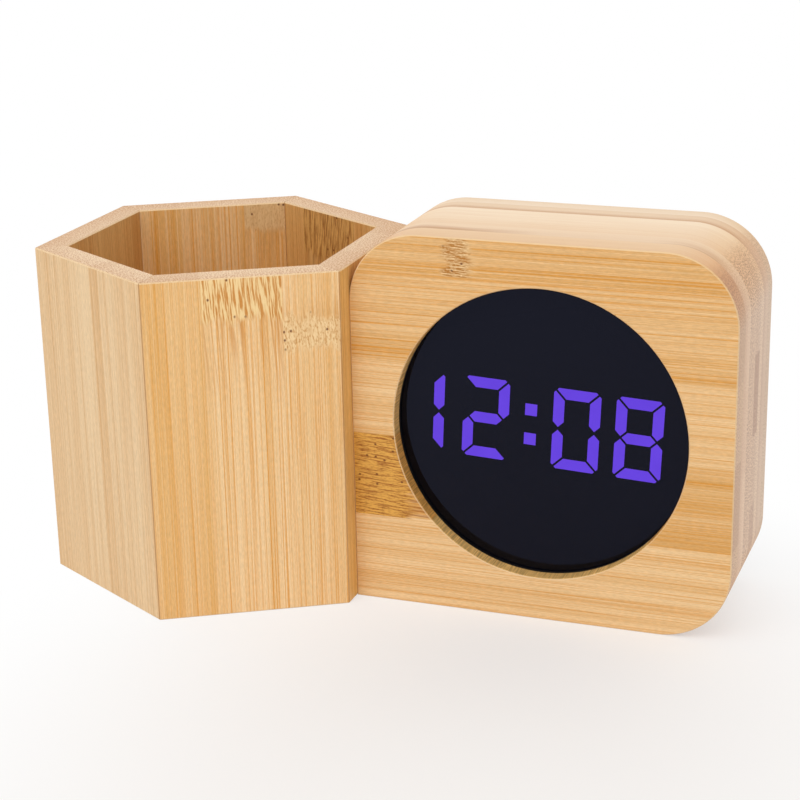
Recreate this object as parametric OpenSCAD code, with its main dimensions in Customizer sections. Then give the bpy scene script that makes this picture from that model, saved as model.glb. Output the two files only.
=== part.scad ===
// Pen holder clock: a hexagonal bamboo pen cup glued to a rounded bamboo case with an LED clock.
// The clock faces -Y, the cup stands at its left, and z = 0 is the desk.

/* [Pen cup] */
// Width of the pen cup across its flat sides
cup_flats = 87; // [80:1:110]
// Height of the pen cup
cup_h = 91; // [70:1:120]
// Thickness of the six boards of the cup
stave_t = 7.6; // [5:0.2:10]
// Thickness of the cup's floor board
floor_t = 6; // [4:0.5:12]
// Sanded chamfer on the bamboo's edges
ease = 0.3; // [0.2:0.1:1.2]
// Glue line between the cup's boards and round its floor
glue_line = 0.1; // [0.05:0.05:0.3]

/* [Joining dowels] */
// Diameter of the dowels that join the cup to the clock
dowel_d = 6; // [4:0.5:8]
// Length of a dowel inside the clock's core board
dowel_in_case = 7; // [5:0.5:8]
// Wood left between a dowel and the inside of the cup
dowel_skin = 2.6; // [1:0.2:3.4]
// Height of the lower dowel, and drop of the upper one from the top of the joint
dowel_inset = 16; // [10:1:24]
// Clearance round a dowel
dowel_fit = 0.05; // [0.02:0.01:0.1]

/* [Clock case] */
// Width of the clock case
case_w = 100; // [96:1:120]
// Height of the clock case
case_h = 100; // [96:1:120]
// Radius of the three rounded corners
case_r = 18.5; // [10:0.5:22]
// How far the clock's face stands behind the cup's nearest corner
case_setback = 5.6; // [0:0.2:8]
// Thickness of the face board
face_t = 8; // [6:0.5:10]
// Thickness of the dark ply behind the face board
front_ply_t = 6.5; // [4:0.5:8]
// Thickness of the core board
core_t = 17.5; // [16:0.5:24]
// Thickness of the dark ply behind the core board
rear_ply_t = 6; // [4:0.5:8]
// Thickness of the rear board
rear_t = 5.5; // [4:0.5:8]
// Diameter of the round pocket bored from the back
pocket_d = 84; // [82.5:0.5:87]

/* [Display] */
// Diameter of the window in the face board
window_d = 77; // [72:0.5:78]
// Depth of the lens behind the face
window_recess = 5; // [3:0.5:5.5]
// Width of the ledge that the lens is glued to
lens_lap = 2.5; // [1.5:0.25:3]
// Thickness of the tinted lens
lens_t = 3; // [2:0.5:4]
// Clearance round the lens
lens_fit = 0.15; // [0.05:0.05:0.3]
// Thickness of the black mask that parts the digit strokes
mask_t = 7; // [4:0.5:8]
// Gap between the lens and the mask
lens_air = 0.1; // [0.05:0.05:0.3]
// Step of the mask's edge inside the pocket
mask_step = 2; // [1:0.25:3]
// Thickness of the light bar in each stroke
bar_t = 1.2; // [0.6:0.2:2]
// Clearance round each light bar
bar_fit = 0.04; // [0.02:0.01:0.1]

/* [Digits] */
// Hours shown
shown_hours = 12; // [1:1:12]
// Minutes shown
shown_minutes = 8; // [0:1:59]
// Height of a digit
digit_h = 21.8; // [16:0.2:24]
// Width of a digit
digit_w = 12.4; // [10:0.2:14]
// Width of a stroke
stroke_w = 2.9; // [2:0.1:3.6]
// Gap between two strokes
stroke_gap = 0.5; // [0.2:0.05:0.8]
// Cut at the outer corners of a digit
stroke_corner = 1.3; // [0.8:0.1:2]
// Distance between the two hour digits
hour_pitch = 17.5; // [15:0.1:18]
// Distance between the two minute digits
minute_pitch = 16.3; // [15:0.1:18]
// Distance from the colon to the digits beside it
colon_space = 12; // [10:0.1:13]
// Side of a colon dot
colon_dot = 3.2; // [2:0.1:4]
// Distance between the two colon dots
colon_pitch = 7.9; // [5:0.1:10]
// Place of the colon to the right of the window's centre
colon_shift = -4.3; // [-5:0.1:0]
// Height of the digits above the window's centre
digit_rise = 0; // [-2:0.05:2]
// Clockwise turn of the round display in its round window
display_turn = 2.7; // [0:0.1:4]

/* [Back cover] */
// Corner radius of the cover
cover_r = 12; // [8:0.5:16]
// Width of the ledge round the pocket that the cover lies on
cover_land = 2; // [1:0.25:2.5]
// Thickness of the cover
cover_t = 2.4; // [2.2:0.1:3]
// Depth of the cover below the back of the case
cover_recess = 0.8; // [0.7:0.1:1.2]
// Clearance round the cover
cover_fit = 0.25; // [0.1:0.05:0.5]
// Wall of the battery bay
bay_wall = 1.4; // [1:0.1:1.8]
// Drop of the battery bay's centre below the window's centre
bay_drop = 11.5; // [9:0.5:12]
// Least gap between the battery bay and the wood
bay_fit = 0.3; // [0.2:0.05:0.5]
// Diameter of the posts that clamp the display
post_d = 5; // [4:0.25:6]
// Distance of the cover screws from the cover's edges
screw_inset = 8; // [6.5:0.5:9]
// Diameter of a cover screw's shank
screw_d = 2.2; // [1.8:0.1:2.6]
// Length of a cover screw
screw_l = 9; // [7:0.5:10]
// Clearance round a screw's shank
screw_fit = 0.05; // [0.02:0.01:0.1]

/* [Batteries] */
// Diameter of a battery cell
cell_d = 10.3; // [9.8:0.1:10.5]
// Length of a battery cell with its tip
cell_l = 44.5; // [43:0.1:44.5]
// Gap between cells, and between a cell and the bay's side
cell_gap = 0.5; // [0.3:0.1:0.7]
// Play of a cell between the bay's floor and the door
cell_play = 0.3; // [0.1:0.1:0.6]
// Length of a contact spring when a cell is in
spring_l = 7.5; // [6:0.5:8]
// Diameter of the spring's wire
spring_wire = 0.6; // [0.5:0.05:0.7]
// Thickness of a contact plate
contact_t = 0.4; // [0.3:0.1:0.6]
// Thickness of the battery door
door_t = 2; // [1.6:0.1:2]
// Gap round the battery door
door_gap = 0.3; // [0.2:0.05:0.5]
// Diameter of the door's hinge pins
pin_d = 1.2; // [1:0.1:1.4]
// Reach of a hinge pin into the cover
pin_reach = 1.2; // [0.8:0.1:1.6]
// Clearance round a hinge pin
pin_fit = 0.05; // [0.02:0.01:0.1]

/* [Keys] */
// Diameter of a key
key_d = 7; // [6:0.25:7.5]
// Distance between keys
key_pitch = 13; // [11.5:0.25:13]
// Height of the keys above the window's centre
key_rise = 22; // [20:0.25:23]
// Height of a key above the cover
key_proud = 0.7; // [0.6:0.05:1]
// Travel of a key
key_travel = 0.5; // [0.3:0.05:0.6]
// Gap round a key
key_gap = 0.2; // [0.15:0.05:0.3]
// Diameter of a switch's plunger
plunger_d = 3.4; // [2.8:0.1:3.8]
// Clearance round a plunger
plunger_fit = 0.1; // [0.05:0.01:0.1]
// Height of a switch's housing
switch_h = 3.5; // [3:0.25:4]
// Side of a switch's housing
switch_side = 6; // [5.5:0.25:6.5]

/* [Electronics] */
// Thickness of both circuit boards
board_t = 1.6; // [1:0.2:2]
// Side gap between loose inner pieces
part_gap = 1; // [0.6:0.1:1.2]
// Diameter of the buzzer
buzzer_d = 10; // [8:0.5:10.5]
// Width of the charging socket's mouth
usb_w = 8.94; // [8.8:0.02:9.1]
// Height of the charging socket's mouth
usb_h = 3.26; // [3.1:0.02:3.4]
// Diameter of the coin cell that keeps the time
coin_d = 20; // [16:0.5:20]
// Thickness of the coin cell
coin_t = 3.2; // [1.6:0.1:3.2]
// Height of the plugs at the ends of the ribbon
plug_h = 5; // [4:0.25:5.5]
// Width of the ribbon between the boards
ribbon_w = 11; // [8:0.5:12]
// Thickness of the ribbon
ribbon_t = 0.8; // [0.5:0.1:1]

/* [Hidden] */
$fn = 96;

// Overshoot of a cutting shape past the face that it cuts, and least flat between two round corners
cut = 0.5;
least_flat = 0.2;

// Colours
bamboo_pale = "#E6C296";
bamboo_warm = "#E7BC83";
bamboo_face = "#E0B17A";
bamboo_dark = "#C8996A";
bamboo_end = "#EBCDAB";
tinted_acrylic = "#1A1B24";
black_abs = "#1C1C1E";
violet_light = "#6A48E0";
smoke_bar = "#2A2833";
board_green = "#1F5A38";
nickel = "#C9C8C4";
steel = "#A9ABAE";
white_led = "#F1EFE4";
cell_wrap = "#2F3A4A";
ribbon_grey = "#B9BABD";

// Cup: outer and inner flat radius, edge length and place of the axis
cup_ro = cup_flats / 2;
cup_ri = cup_ro - stave_t;
cup_edge = cup_flats / sqrt(3);
overall_w = cup_flats + case_w;
cup_x = cup_ro - overall_w / 2;

// Case: left side, face, depth and the window's centre seen from the lower left corner
case_x = overall_w / 2 - case_w;
case_y = case_setback - cup_edge / 2;
case_d = face_t + front_ply_t + core_t + rear_ply_t + rear_t;
middle = [case_w / 2, case_h / 2];

// Dowels: heights, and depth at the middle of the core board
joint_top = min(cup_h, case_h - case_r);
dowel_heights = [dowel_inset, joint_top - dowel_inset];
dowel_depth = face_t + front_ply_t + core_t / 2;
dowel_in_cup = stave_t - dowel_skin;
dowel_room = 0.3;

// Display stack, as depths behind the face
lens_d = window_d + 2 * lens_lap;
mask_d = pocket_d - 2 * mask_step;
mask_front = window_recess + lens_t + lens_air;
mask_back = mask_front + mask_t;
display_back = mask_back + board_t;
led_size = [2, 1.25, 0.8];

// Readout: place of each digit from the colon, the strokes it has and the numeral it shows
digit_x = [-colon_space - hour_pitch, -colon_space, colon_space, colon_space + minute_pitch];
digit_strokes = ["bc", "abcdefg", "abcdefg", "abcdefg"];
numeral_strokes = [
    "abcdef", "bc", "abdeg", "abcdg", "bcfg",
    "acdfg", "acdefg", "abc", "abcdefg", "abcdfg"
];
shown = [floor(shown_hours / 10), shown_hours % 10, floor(shown_minutes / 10), shown_minutes % 10];

// Cover: width, inner and outer face as depths, and its screws from the window's centre
cover_w = pocket_d + 2 * cover_land;
cover_out = case_d - cover_recess;
cover_in = cover_out - cover_t;
screw_reach = cover_w / 2 - screw_inset;
screw_places = [for (x = [-1, 1], y = [-1, 1]) screw_reach * [x, y]];
screw_room = 0.3;
screw_head_d = 2 * screw_d;

// Battery bay and door
dimple_h = 0.6;
bay_l = cell_l + spring_l + 2 * contact_t + dimple_h;
cell_pitch = cell_d + cell_gap;
bay_h = 3 * cell_pitch + cell_gap;
bay_floor = cover_out - door_t - cell_d - 2 * cell_play;
bay_front = bay_floor - bay_wall;
bay_outer = [bay_l, bay_h] + 2 * bay_wall * [1, 1];
bay_top = bay_h / 2 - bay_drop;
cell_depth = bay_floor + cell_play + cell_d / 2;
cell_rows = [for (i = [0:2]) [i % 2 == 0 ? 1 : -1, (i - 1) * cell_pitch - bay_drop]];
door_l = bay_l - 2 * door_gap;
door_axis = [cover_out - door_t / 2, door_gap + door_t / 2 - bay_h / 2 - bay_drop];
door_h = bay_h - 2 * door_gap - door_t / 2;
tongue_w = 12;
tongue_l = 8;
tongue_slit = 0.8;
pin_room = 0.3;

// Keys, switches and the control board, as depths behind the face
flange_t = 1;
flange_lap = 1.2;
flange_gap = 0.1;
stem_d = 3;
stem_l = 0.6;
plunger_proud = 0.9;
plunger_hold = 1.5;
flange_in = cover_in - flange_gap - flange_t;
plunger_top = flange_in - stem_l;
switch_top = plunger_top - plunger_proud;
control_rear = switch_top - switch_h;
control_front = control_rear - board_t;
key_x = [-key_pitch, 0, key_pitch];

// Posts that clamp the display: a pair beside the bay and a pair at the top
post_ring = mask_d / 2 - post_d / 2 - part_gap;
post_angles = [80, 100, 192, 348];
post_places = [for (a = post_angles) post_ring * [cos(a), sin(a)]];

// Control board: lower and upper edge, its screws and what it carries
control_low = bay_top + bay_wall + part_gap;
control_top = post_places[0][1] - post_d / 2 - part_gap;
control_ring = pocket_d / 2 - 3 * part_gap;
boss_d = 5;
boss_reach = 29.5;
boss_rise = 4.5;
boss_places = [for (x = [-1, 1]) [x * boss_reach, control_low + boss_rise]];
board_screw_d = 1.9;
board_screw_l = 5;
buzzer_reach = 24;
buzzer_rise = 12;
buzzer_place = [-buzzer_reach, control_low + buzzer_rise];
usb_reach = 24;
usb_rise = 12.5;
usb_place = [usb_reach, control_low + usb_rise];
usb_r = (usb_h - least_flat) / 2;
usb_wall = 0.3;
usb_base = 2;
usb_mouth_depth = 0.4;
coin_clip = 1;
coin_reach = 18;
coin_lift = 0.5;
coin_place = [coin_reach, control_low + coin_d / 2 + coin_clip + coin_lift];
chip_size = [10.3, 7.5, 2.3];
chip_reach = 13;
chip_rise = 15;
chip_place = [-chip_reach, control_low + chip_rise];
crystal_size = [6, 2.2];
crystal_reach = 23;
crystal_rise = 9;
crystal_place = [-crystal_reach, control_low + crystal_rise];

// Ribbon: it leaves the display's plug, bends up, climbs and bends into the control board's plug
ribbon_bend = (control_front - display_back - 2 * plug_h) / 2;
ribbon_climb = 3.85;
plug_deep = 4;
plug_rise = 4.5;
control_plug_y = control_low + plug_rise;
display_plug_y = control_plug_y - ribbon_climb - 2 * ribbon_bend;

// Front outline of the case: three rounded corners, and a square one where it meets the cup
module case_outline() {
    square([case_w - case_r, case_h - case_r]);
    translate([case_r, 0])
        square([case_w - 2 * case_r, case_h]);
    translate([0, case_r])
        square([case_w, case_h - 2 * case_r]);
    rounded_corners()
        circle(case_r);
}

// Copies a shape to the centres of the three rounded corners
module rounded_corners() {
    for (p = [[case_w - case_r, case_r], [case_r, case_h - case_r], [case_w - case_r, case_h - case_r]])
        translate(p)
            children();
}

// Grows a flat shape, drawn as seen from the front, backwards from depth d0
module through_depth(d0, t) {
    translate([case_x, case_y + d0 + t, 0])
        rotate([90, 0, 0])
            linear_extrude(t)
                children();
}

// The same, drawn from the window's centre
module behind_window(d0, t) {
    through_depth(d0, t)
        translate(middle)
            children();
}

// Stands a solid at a place from the window's centre, with its own z pointing to the front
module facing_front(place, depth) {
    translate([case_x + middle[0] + place[0], case_y + depth, middle[1] + place[1]])
        rotate([90, 0, 0])
            children();
}

// Lays a solid along the clock's width, with its own z pointing to +X
module along_width(x, depth, y) {
    translate([case_x + middle[0] + x, case_y + depth, middle[1] + y])
        rotate([0, 90, 0])
            children();
}

// Square with round corners, centred
module round_square(size, r) {
    inner = size - 2 * [r, r];
    square([inner[0], size[1]], center = true);
    square([size[0], inner[1]], center = true);
    for (x = [-1, 1], y = [-1, 1])
        translate([x * inner[0], y * inner[1]] / 2)
            circle(r);
}

// One board of the cup: mitred ends in plan, eased rims in profile, eased outer corners
module stave(angle) {
    corner_x = cup_ro - ease * cos(30) / 2;
    plan = [
        [cup_ri, mitre(cup_ri)], [corner_x, mitre(corner_x)], [cup_ro, mitre(cup_ro) - ease],
        [cup_ro, ease - mitre(cup_ro)], [corner_x, -mitre(corner_x)], [cup_ri, -mitre(cup_ri)]
    ];
    profile = [
        [cup_ri, 0], [cup_ro - ease, 0], [cup_ro, ease], [cup_ro, cup_h - ease],
        [cup_ro - ease, cup_h], [cup_ri + ease, cup_h], [cup_ri, cup_h - ease]
    ];
    translate([cup_x, 0, 0])
        rotate(angle)
            intersection() {
                linear_extrude(cup_h)
                    polygon(plan);
                translate([0, cup_edge, 0])
                    rotate([90, 0, 0])
                        linear_extrude(2 * cup_edge)
                            polygon(profile);
            }
}

// Half width of a board at a distance x from the cup's axis, less half the glue line
function mitre(x) = x * tan(30) - glue_line / 2 / cos(30);

// Copies a shape, lying along +X, to the two dowels' centres on the joint
module at_dowels() {
    for (z = dowel_heights)
        translate([case_x, case_y + dowel_depth, z])
            rotate([0, 90, 0])
                children();
}

// Blind holes for the dowels on both sides of the joint
module dowel_holes() {
    at_dowels()
        translate([0, 0, -dowel_in_cup - dowel_room])
            cylinder(h = dowel_in_cup + dowel_in_case + 2 * dowel_room, d = dowel_d + 2 * dowel_fit);
}

module stave_front_left() {
    color(bamboo_pale)
        stave(240);
}

module stave_front_right() {
    color(bamboo_warm)
        stave(300);
}

// The board that is dowelled and glued to the clock
module stave_right() {
    color(bamboo_warm)
        difference() {
            stave(0);
            dowel_holes();
        }
}

module stave_rear_right() {
    color(bamboo_warm)
        stave(60);
}

module stave_rear_left() {
    color(bamboo_pale)
        stave(120);
}

module stave_left() {
    color(bamboo_pale)
        stave(180);
}

// Hexagonal board glued inside the foot of the cup
module cup_floor() {
    color(bamboo_end)
        translate([cup_x, 0, 0])
            rotate(30)
                linear_extrude(floor_t)
                    circle((cup_ri - glue_line) / cos(30), $fn = 6);
}

// Beech dowels with chamfered ends
module joining_dowels() {
    r = dowel_d / 2;
    color(bamboo_end)
        at_dowels()
            rotate_extrude()
                polygon([
                    [0, -dowel_in_cup], [r - ease, -dowel_in_cup], [r, ease - dowel_in_cup],
                    [r, dowel_in_case - ease], [r - ease, dowel_in_case], [0, dowel_in_case]
                ]);
}

// Sanded rim of the case outline, ease high: the full outline below and the smaller one on top
module eased_rim() {
    wedge = [[0, 0], [case_r, 0], [case_r, ease], [ease, ease]];
    rounded_corners()
        cylinder(h = ease, r1 = case_r, r2 = case_r - ease);
    translate([case_r, 0, 0])
        rotate([90, 0, 90])
            linear_extrude(case_w - 2 * case_r)
                polygon([[0, 0], [case_h, 0], [case_h - ease, ease], [ease, ease]]);
    translate([0, case_h - case_r, 0])
        rotate([90, 0, 0])
            linear_extrude(case_h - 2 * case_r)
                polygon([[0, 0], [case_w, 0], [case_w - ease, ease], [ease, ease]]);
    intersection() {
        translate([0, case_r, 0])
            rotate([90, 0, 0])
                linear_extrude(case_r)
                    polygon(wedge);
        rotate([90, 0, 90])
            linear_extrude(case_r)
                polygon(wedge);
    }
}

// Plate of the case outline with one sanded rim, at its front or at its back
module eased_board(d0, t, rim_at_front) {
    rim_y = rim_at_front ? d0 + ease : d0 + t - ease;
    through_depth(rim_at_front ? d0 + ease : d0, t - ease)
        case_outline();
    translate([case_x, case_y + rim_y, 0])
        mirror([0, rim_at_front ? 0 : 1, 0])
            rotate([90, 0, 0])
                eased_rim();
}

// Pilot holes for the cover screws, in whichever boards they reach
module screw_pilots() {
    behind_window(cover_out - screw_l - screw_room, screw_l)
        for (p = screw_places)
            translate(p)
                circle(d = screw_d + 2 * screw_fit);
}

// Outline of the pocket: round, and squared out where the battery bay would reach past it
module pocket_outline() {
    circle(d = pocket_d);
    translate([0, -bay_drop])
        square(bay_outer + 2 * bay_fit * [1, 1], center = true);
}

// One board of the case behind the face, with the pocket
module case_ply(d0, t) {
    difference() {
        through_depth(d0, t)
            difference() {
                case_outline();
                translate(middle)
                    pocket_outline();
            }
        screw_pilots();
    }
}

// Board that shows at the front, with the eased round window and the lens seat behind it
module face_board() {
    color(bamboo_face)
        difference() {
            eased_board(0, face_t, true);
            behind_window(-cut, window_recess + 2 * cut)
                circle(d = window_d);
            behind_window(window_recess, face_t)
                circle(d = lens_d + 2 * lens_fit);
            facing_front([0, 0], ease)
                cylinder(h = 2 * ease, d1 = window_d, d2 = window_d + 4 * ease);
        }
}

module front_ply() {
    color(bamboo_dark)
        case_ply(face_t, front_ply_t);
}

module core_board() {
    color(bamboo_end)
        difference() {
            case_ply(face_t + front_ply_t, core_t);
            dowel_holes();
        }
}

module rear_ply() {
    color(bamboo_dark)
        case_ply(face_t + front_ply_t + core_t, rear_ply_t);
}

// Board that shows at the back, rebated for the cover
module rear_board() {
    color(bamboo_end)
        difference() {
            eased_board(case_d - rear_t, rear_t, false);
            behind_window(case_d - rear_t - cut, rear_t + 2 * cut)
                pocket_outline();
            behind_window(cover_in, case_d)
                round_square((cover_w + 2 * cover_fit) * [1, 1], cover_r + cover_fit);
            screw_pilots();
        }
}

// Corners of a stroke, drawn f inside its window in the mask
function stroke_points(s, f) =
    let (
        w = digit_w / 2 - f,
        h = digit_h / 2 - f,
        t = stroke_w - 2 * f,
        k = stroke_gap / sqrt(2) + f * sqrt(2),
        c = stroke_corner - f * (2 - sqrt(2)),
        outer = (c + k) / 2,
        inner = (c - k) / 2
    )
    s == "a" ? [
        [c - w, h], [w - c, h], [w - outer, h - inner],
        [w - t - k, h - t], [t + k - w, h - t], [outer - w, h - inner]
    ] :
    s == "b" ? [
        [w - t, h - t - k], [w - inner, h - outer], [w, h - c],
        [w, t / 2 + k], [w - t / 2, k], [w - t, t / 2 + k]
    ] : [
        [t / 2 + k - w, 0], [t + k - w, t / 2], [w - t - k, t / 2],
        [w - t / 2 - k, 0], [w - t - k, -t / 2], [t + k - w, -t / 2]
    ];

// Copies the top, upper right or middle stroke to the place of stroke s
module stroke_side(s) {
    upside_down = s == "c" || s == "d" || s == "e";
    left = s == "e" || s == "f";
    mirror([left ? 1 : 0, 0])
        mirror([0, upside_down ? 1 : 0])
            children();
}

// Drawn form of stroke s: d is a turned over, and c, e and f are b turned over or swapped
function drawn_form(s) = s == "a" || s == "d" ? "a" : s == "g" ? "g" : "b";

module stroke(s, f) {
    stroke_side(s)
        polygon(stroke_points(drawn_form(s), f));
}

// Centre of a drawn form, where its light sits
function form_centre(s) =
    s == "a" ? [0, (digit_h - stroke_w) / 2] :
    s == "b" ? [(digit_w - stroke_w) / 2, digit_h / 4] : [0, 0];

// Turns and shifts the readout to its place in the window
module readout() {
    translate(middle)
        rotate(-display_turn)
            translate([colon_shift, digit_rise])
                children();
}

module colon(f) {
    for (y = [-1, 1])
        translate([0, y * colon_pitch / 2])
            square(colon_dot - 2 * f, center = true);
}

// Whether stroke s of digit i glows: the first digit is dark before ten o'clock
function glows(i, s) = (i > 0 || shown[0] > 0) && len(search(s, numeral_strokes[shown[i]])) > 0;

// The strokes of all digits that glow, or those that don't, f inside their windows
module strokes(lit, f) {
    for (i = [0:3], s = digit_strokes[i])
        if (glows(i, s) == lit)
            translate([digit_x[i], 0])
                stroke(s, f);
}

// Tinted acrylic disc, glued to the ledge behind the window
module display_lens() {
    color(tinted_acrylic)
        behind_window(window_recess, lens_t)
            circle(d = lens_d);
}

// Black block with a shaft for each stroke, so that light doesn't spread to the next one
module digit_mask() {
    color(black_abs)
        through_depth(mask_front, mask_t)
            difference() {
                translate(middle)
                    circle(d = mask_d);
                readout() {
                    strokes(true, 0);
                    strokes(false, 0);
                    colon(0);
                }
            }
}

// Light bars that glow in the time shown
module lit_strokes() {
    color(violet_light)
        through_depth(mask_front, bar_t)
            readout() {
                strokes(true, bar_fit);
                colon(bar_fit);
            }
}

// Light bars that stay dark
module unlit_strokes() {
    color(smoke_bar)
        through_depth(mask_front, bar_t)
            readout()
                strokes(false, bar_fit);
}

// One light at the foot of each stroke's shaft
module stroke_leds() {
    color(white_led)
        through_depth(mask_back - led_size[2], led_size[2])
            readout() {
                for (i = [0:3], s = digit_strokes[i])
                    translate([digit_x[i], 0])
                        stroke_side(s)
                            translate(form_centre(drawn_form(s)))
                                rotate(drawn_form(s) == "b" ? 90 : 0)
                                    square([led_size[0], led_size[1]], center = true);
                for (y = [-1, 1])
                    translate([0, y * colon_pitch / 2])
                        square([led_size[0], led_size[1]], center = true);
            }
}

// Round circuit board that carries the lights
module display_board() {
    color(board_green)
        behind_window(mask_back, board_t)
            circle(d = mask_d);
}

// Circuit board above the battery bay, screwed to the cover
module control_board() {
    color(board_green)
        behind_window(control_front, board_t)
            difference() {
                intersection() {
                    circle(control_ring);
                    translate([-control_ring, control_low])
                        square([2 * control_ring, control_top - control_low]);
                }
                for (p = boss_places)
                    translate(p)
                        circle(d = board_screw_d + 2 * screw_fit);
            }
}

module control_chip() {
    color(black_abs)
        behind_window(control_front - chip_size[2], chip_size[2])
            translate(chip_place)
                square([chip_size[0], chip_size[1]], center = true);
}

// Crystal in its can with round ends, lying on the board
module crystal() {
    color(nickel)
        behind_window(control_front - crystal_size[1], crystal_size[1])
            translate(crystal_place)
                round_square(crystal_size, (crystal_size[1] - least_flat) / 2);
}

// Coin cell that keeps the time while the lights have no power
module coin_cell() {
    color(nickel)
        behind_window(control_front - coin_clip - coin_t, coin_t)
            translate(coin_place)
                circle(d = coin_d);
}

// Round holder that the coin cell presses into, with a notch to lift it out
module coin_cell_holder() {
    holder_d = coin_d + 2 * coin_clip;
    color(black_abs)
        difference() {
            behind_window(control_front - coin_clip - coin_t, coin_clip + coin_t)
                translate(coin_place)
                    circle(d = holder_d);
            behind_window(control_front - coin_clip - 2 * coin_t, 2 * coin_t)
                translate(coin_place) {
                    circle(d = coin_d + 2 * bar_fit);
                    translate([0, holder_d / 2])
                        square(coin_d / 3, center = true);
                }
        }
}

// Alarm buzzer with its sound hole behind the holes in the cover
module buzzer() {
    buzzer_h = cover_in - part_gap / 2 - control_rear;
    color(black_abs)
        difference() {
            behind_window(control_rear, buzzer_h)
                translate(buzzer_place)
                    circle(d = buzzer_d);
            behind_window(control_rear + buzzer_h / 2, buzzer_h)
                translate(buzzer_place)
                    circle(d = buzzer_d / 5);
        }
}

// Charging socket: a metal shell with a tongue inside, open to the back
module charging_socket() {
    shell = [usb_w, usb_h];
    inside = shell - 2 * usb_wall * [1, 1];
    socket_end = cover_out - usb_mouth_depth;
    socket_floor = control_rear + usb_base;
    tongue = [6.7, 0.7];
    color(nickel) {
        difference() {
            behind_window(control_rear, socket_end - control_rear)
                translate(usb_place)
                    round_square(shell, usb_r);
            behind_window(socket_floor, cover_t + socket_end - socket_floor)
                translate(usb_place)
                    round_square(inside, usb_r - usb_wall);
        }
        behind_window(socket_floor - usb_wall, socket_end - socket_floor - usb_wall)
            translate(usb_place)
                square(tongue, center = true);
    }
}

// Three push switches on the control board
module key_switches() {
    bore_depth = plunger_hold + key_travel + plunger_fit;
    color(black_abs)
        difference() {
            behind_window(control_rear, switch_h)
                for (x = key_x)
                    translate([x, key_rise])
                        square(switch_side, center = true);
            behind_window(switch_top - bore_depth, bore_depth + plunger_proud)
                for (x = key_x)
                    translate([x, key_rise])
                        circle(d = plunger_d + 2 * plunger_fit);
        }
}

// Plugs that hold the ribbon's two ends
module ribbon_plugs() {
    plug = [ribbon_w + 2 * part_gap, plug_deep];
    color(white_led) {
        behind_window(display_back, plug_h)
            translate([0, display_plug_y])
                square(plug, center = true);
        behind_window(control_front - plug_h, plug_h)
            translate([0, control_plug_y])
                square(plug, center = true);
    }
}

// Flat ribbon that bends twice on its way from the display to the control board
module board_ribbon() {
    start = [display_back + plug_h, display_plug_y];
    end = [control_front - plug_h, control_plug_y];
    color(ribbon_grey)
        translate([case_x + middle[0] - ribbon_w / 2, case_y, middle[1]])
            rotate([90, 0, 90])
                linear_extrude(ribbon_w) {
                    translate([start[0], start[1] + ribbon_bend])
                        quarter_ring(ribbon_bend, [0, -1]);
                    translate([end[0], end[1] - ribbon_bend])
                        quarter_ring(ribbon_bend, [-1, 0]);
                    translate([start[0] + ribbon_bend - ribbon_t / 2, start[1] + ribbon_bend])
                        square([ribbon_t, ribbon_climb]);
                }
}

// Quarter of the ribbon's bend, in the quadrant whose lower corner is given
module quarter_ring(r, quadrant) {
    reach = r + ribbon_t;
    intersection() {
        difference() {
            circle(r + ribbon_t / 2);
            circle(r - ribbon_t / 2);
        }
        translate(reach * quadrant)
            square(reach);
    }
}

// Pan-head screws that hold the control board
module board_screws() {
    head_h = 1.2;
    r = board_screw_d / 2;
    color(steel)
        for (p = boss_places)
            facing_front(p, control_front)
                rotate_extrude()
                    polygon([
                        [0, head_h], [r, head_h], [2 * r, head_h / 2], [2 * r, 0],
                        [r, 0], [r, r - board_screw_l], [0, -board_screw_l]
                    ]);
}

// What is cut from the cover: door opening, hinge holes, keys, socket, sound and screw holes
module cover_openings() {
    through = cover_in - cut;
    through_t = cover_t + 2 * cut;
    sound_d = 1.4;
    sound_ring = 3;
    notch_d = 14;
    behind_window(bay_floor, case_d - bay_floor)
        translate([0, -bay_drop])
            square([bay_l, bay_h], center = true);
    along_width(-bay_l / 2 - pin_reach - pin_room, door_axis[0], door_axis[1])
        cylinder(h = bay_l + 2 * (pin_reach + pin_room), d = pin_d + 2 * pin_fit);
    behind_window(cover_out - cover_t / 2, cover_t)
        translate([0, bay_top])
            circle(d = notch_d);
    behind_window(through, through_t) {
        for (x = key_x)
            translate([x, key_rise])
                circle(d = key_d + 2 * key_gap);
        translate(usb_place)
            round_square([usb_w, usb_h] + 2 * key_gap * [1, 1], usb_r + key_gap);
        translate(buzzer_place) {
            circle(d = sound_d);
            for (a = [0:60:300])
                rotate(a)
                    translate([sound_ring, 0])
                        circle(d = sound_d);
        }
        for (p = screw_places)
            translate(p)
                circle(d = screw_d + 4 * screw_fit);
    }
    for (p = screw_places)
        facing_front(p, cover_out)
            cylinder(h = screw_d / 2, d1 = screw_head_d + 2 * screw_fit, d2 = screw_d + 2 * screw_fit);
}

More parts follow.
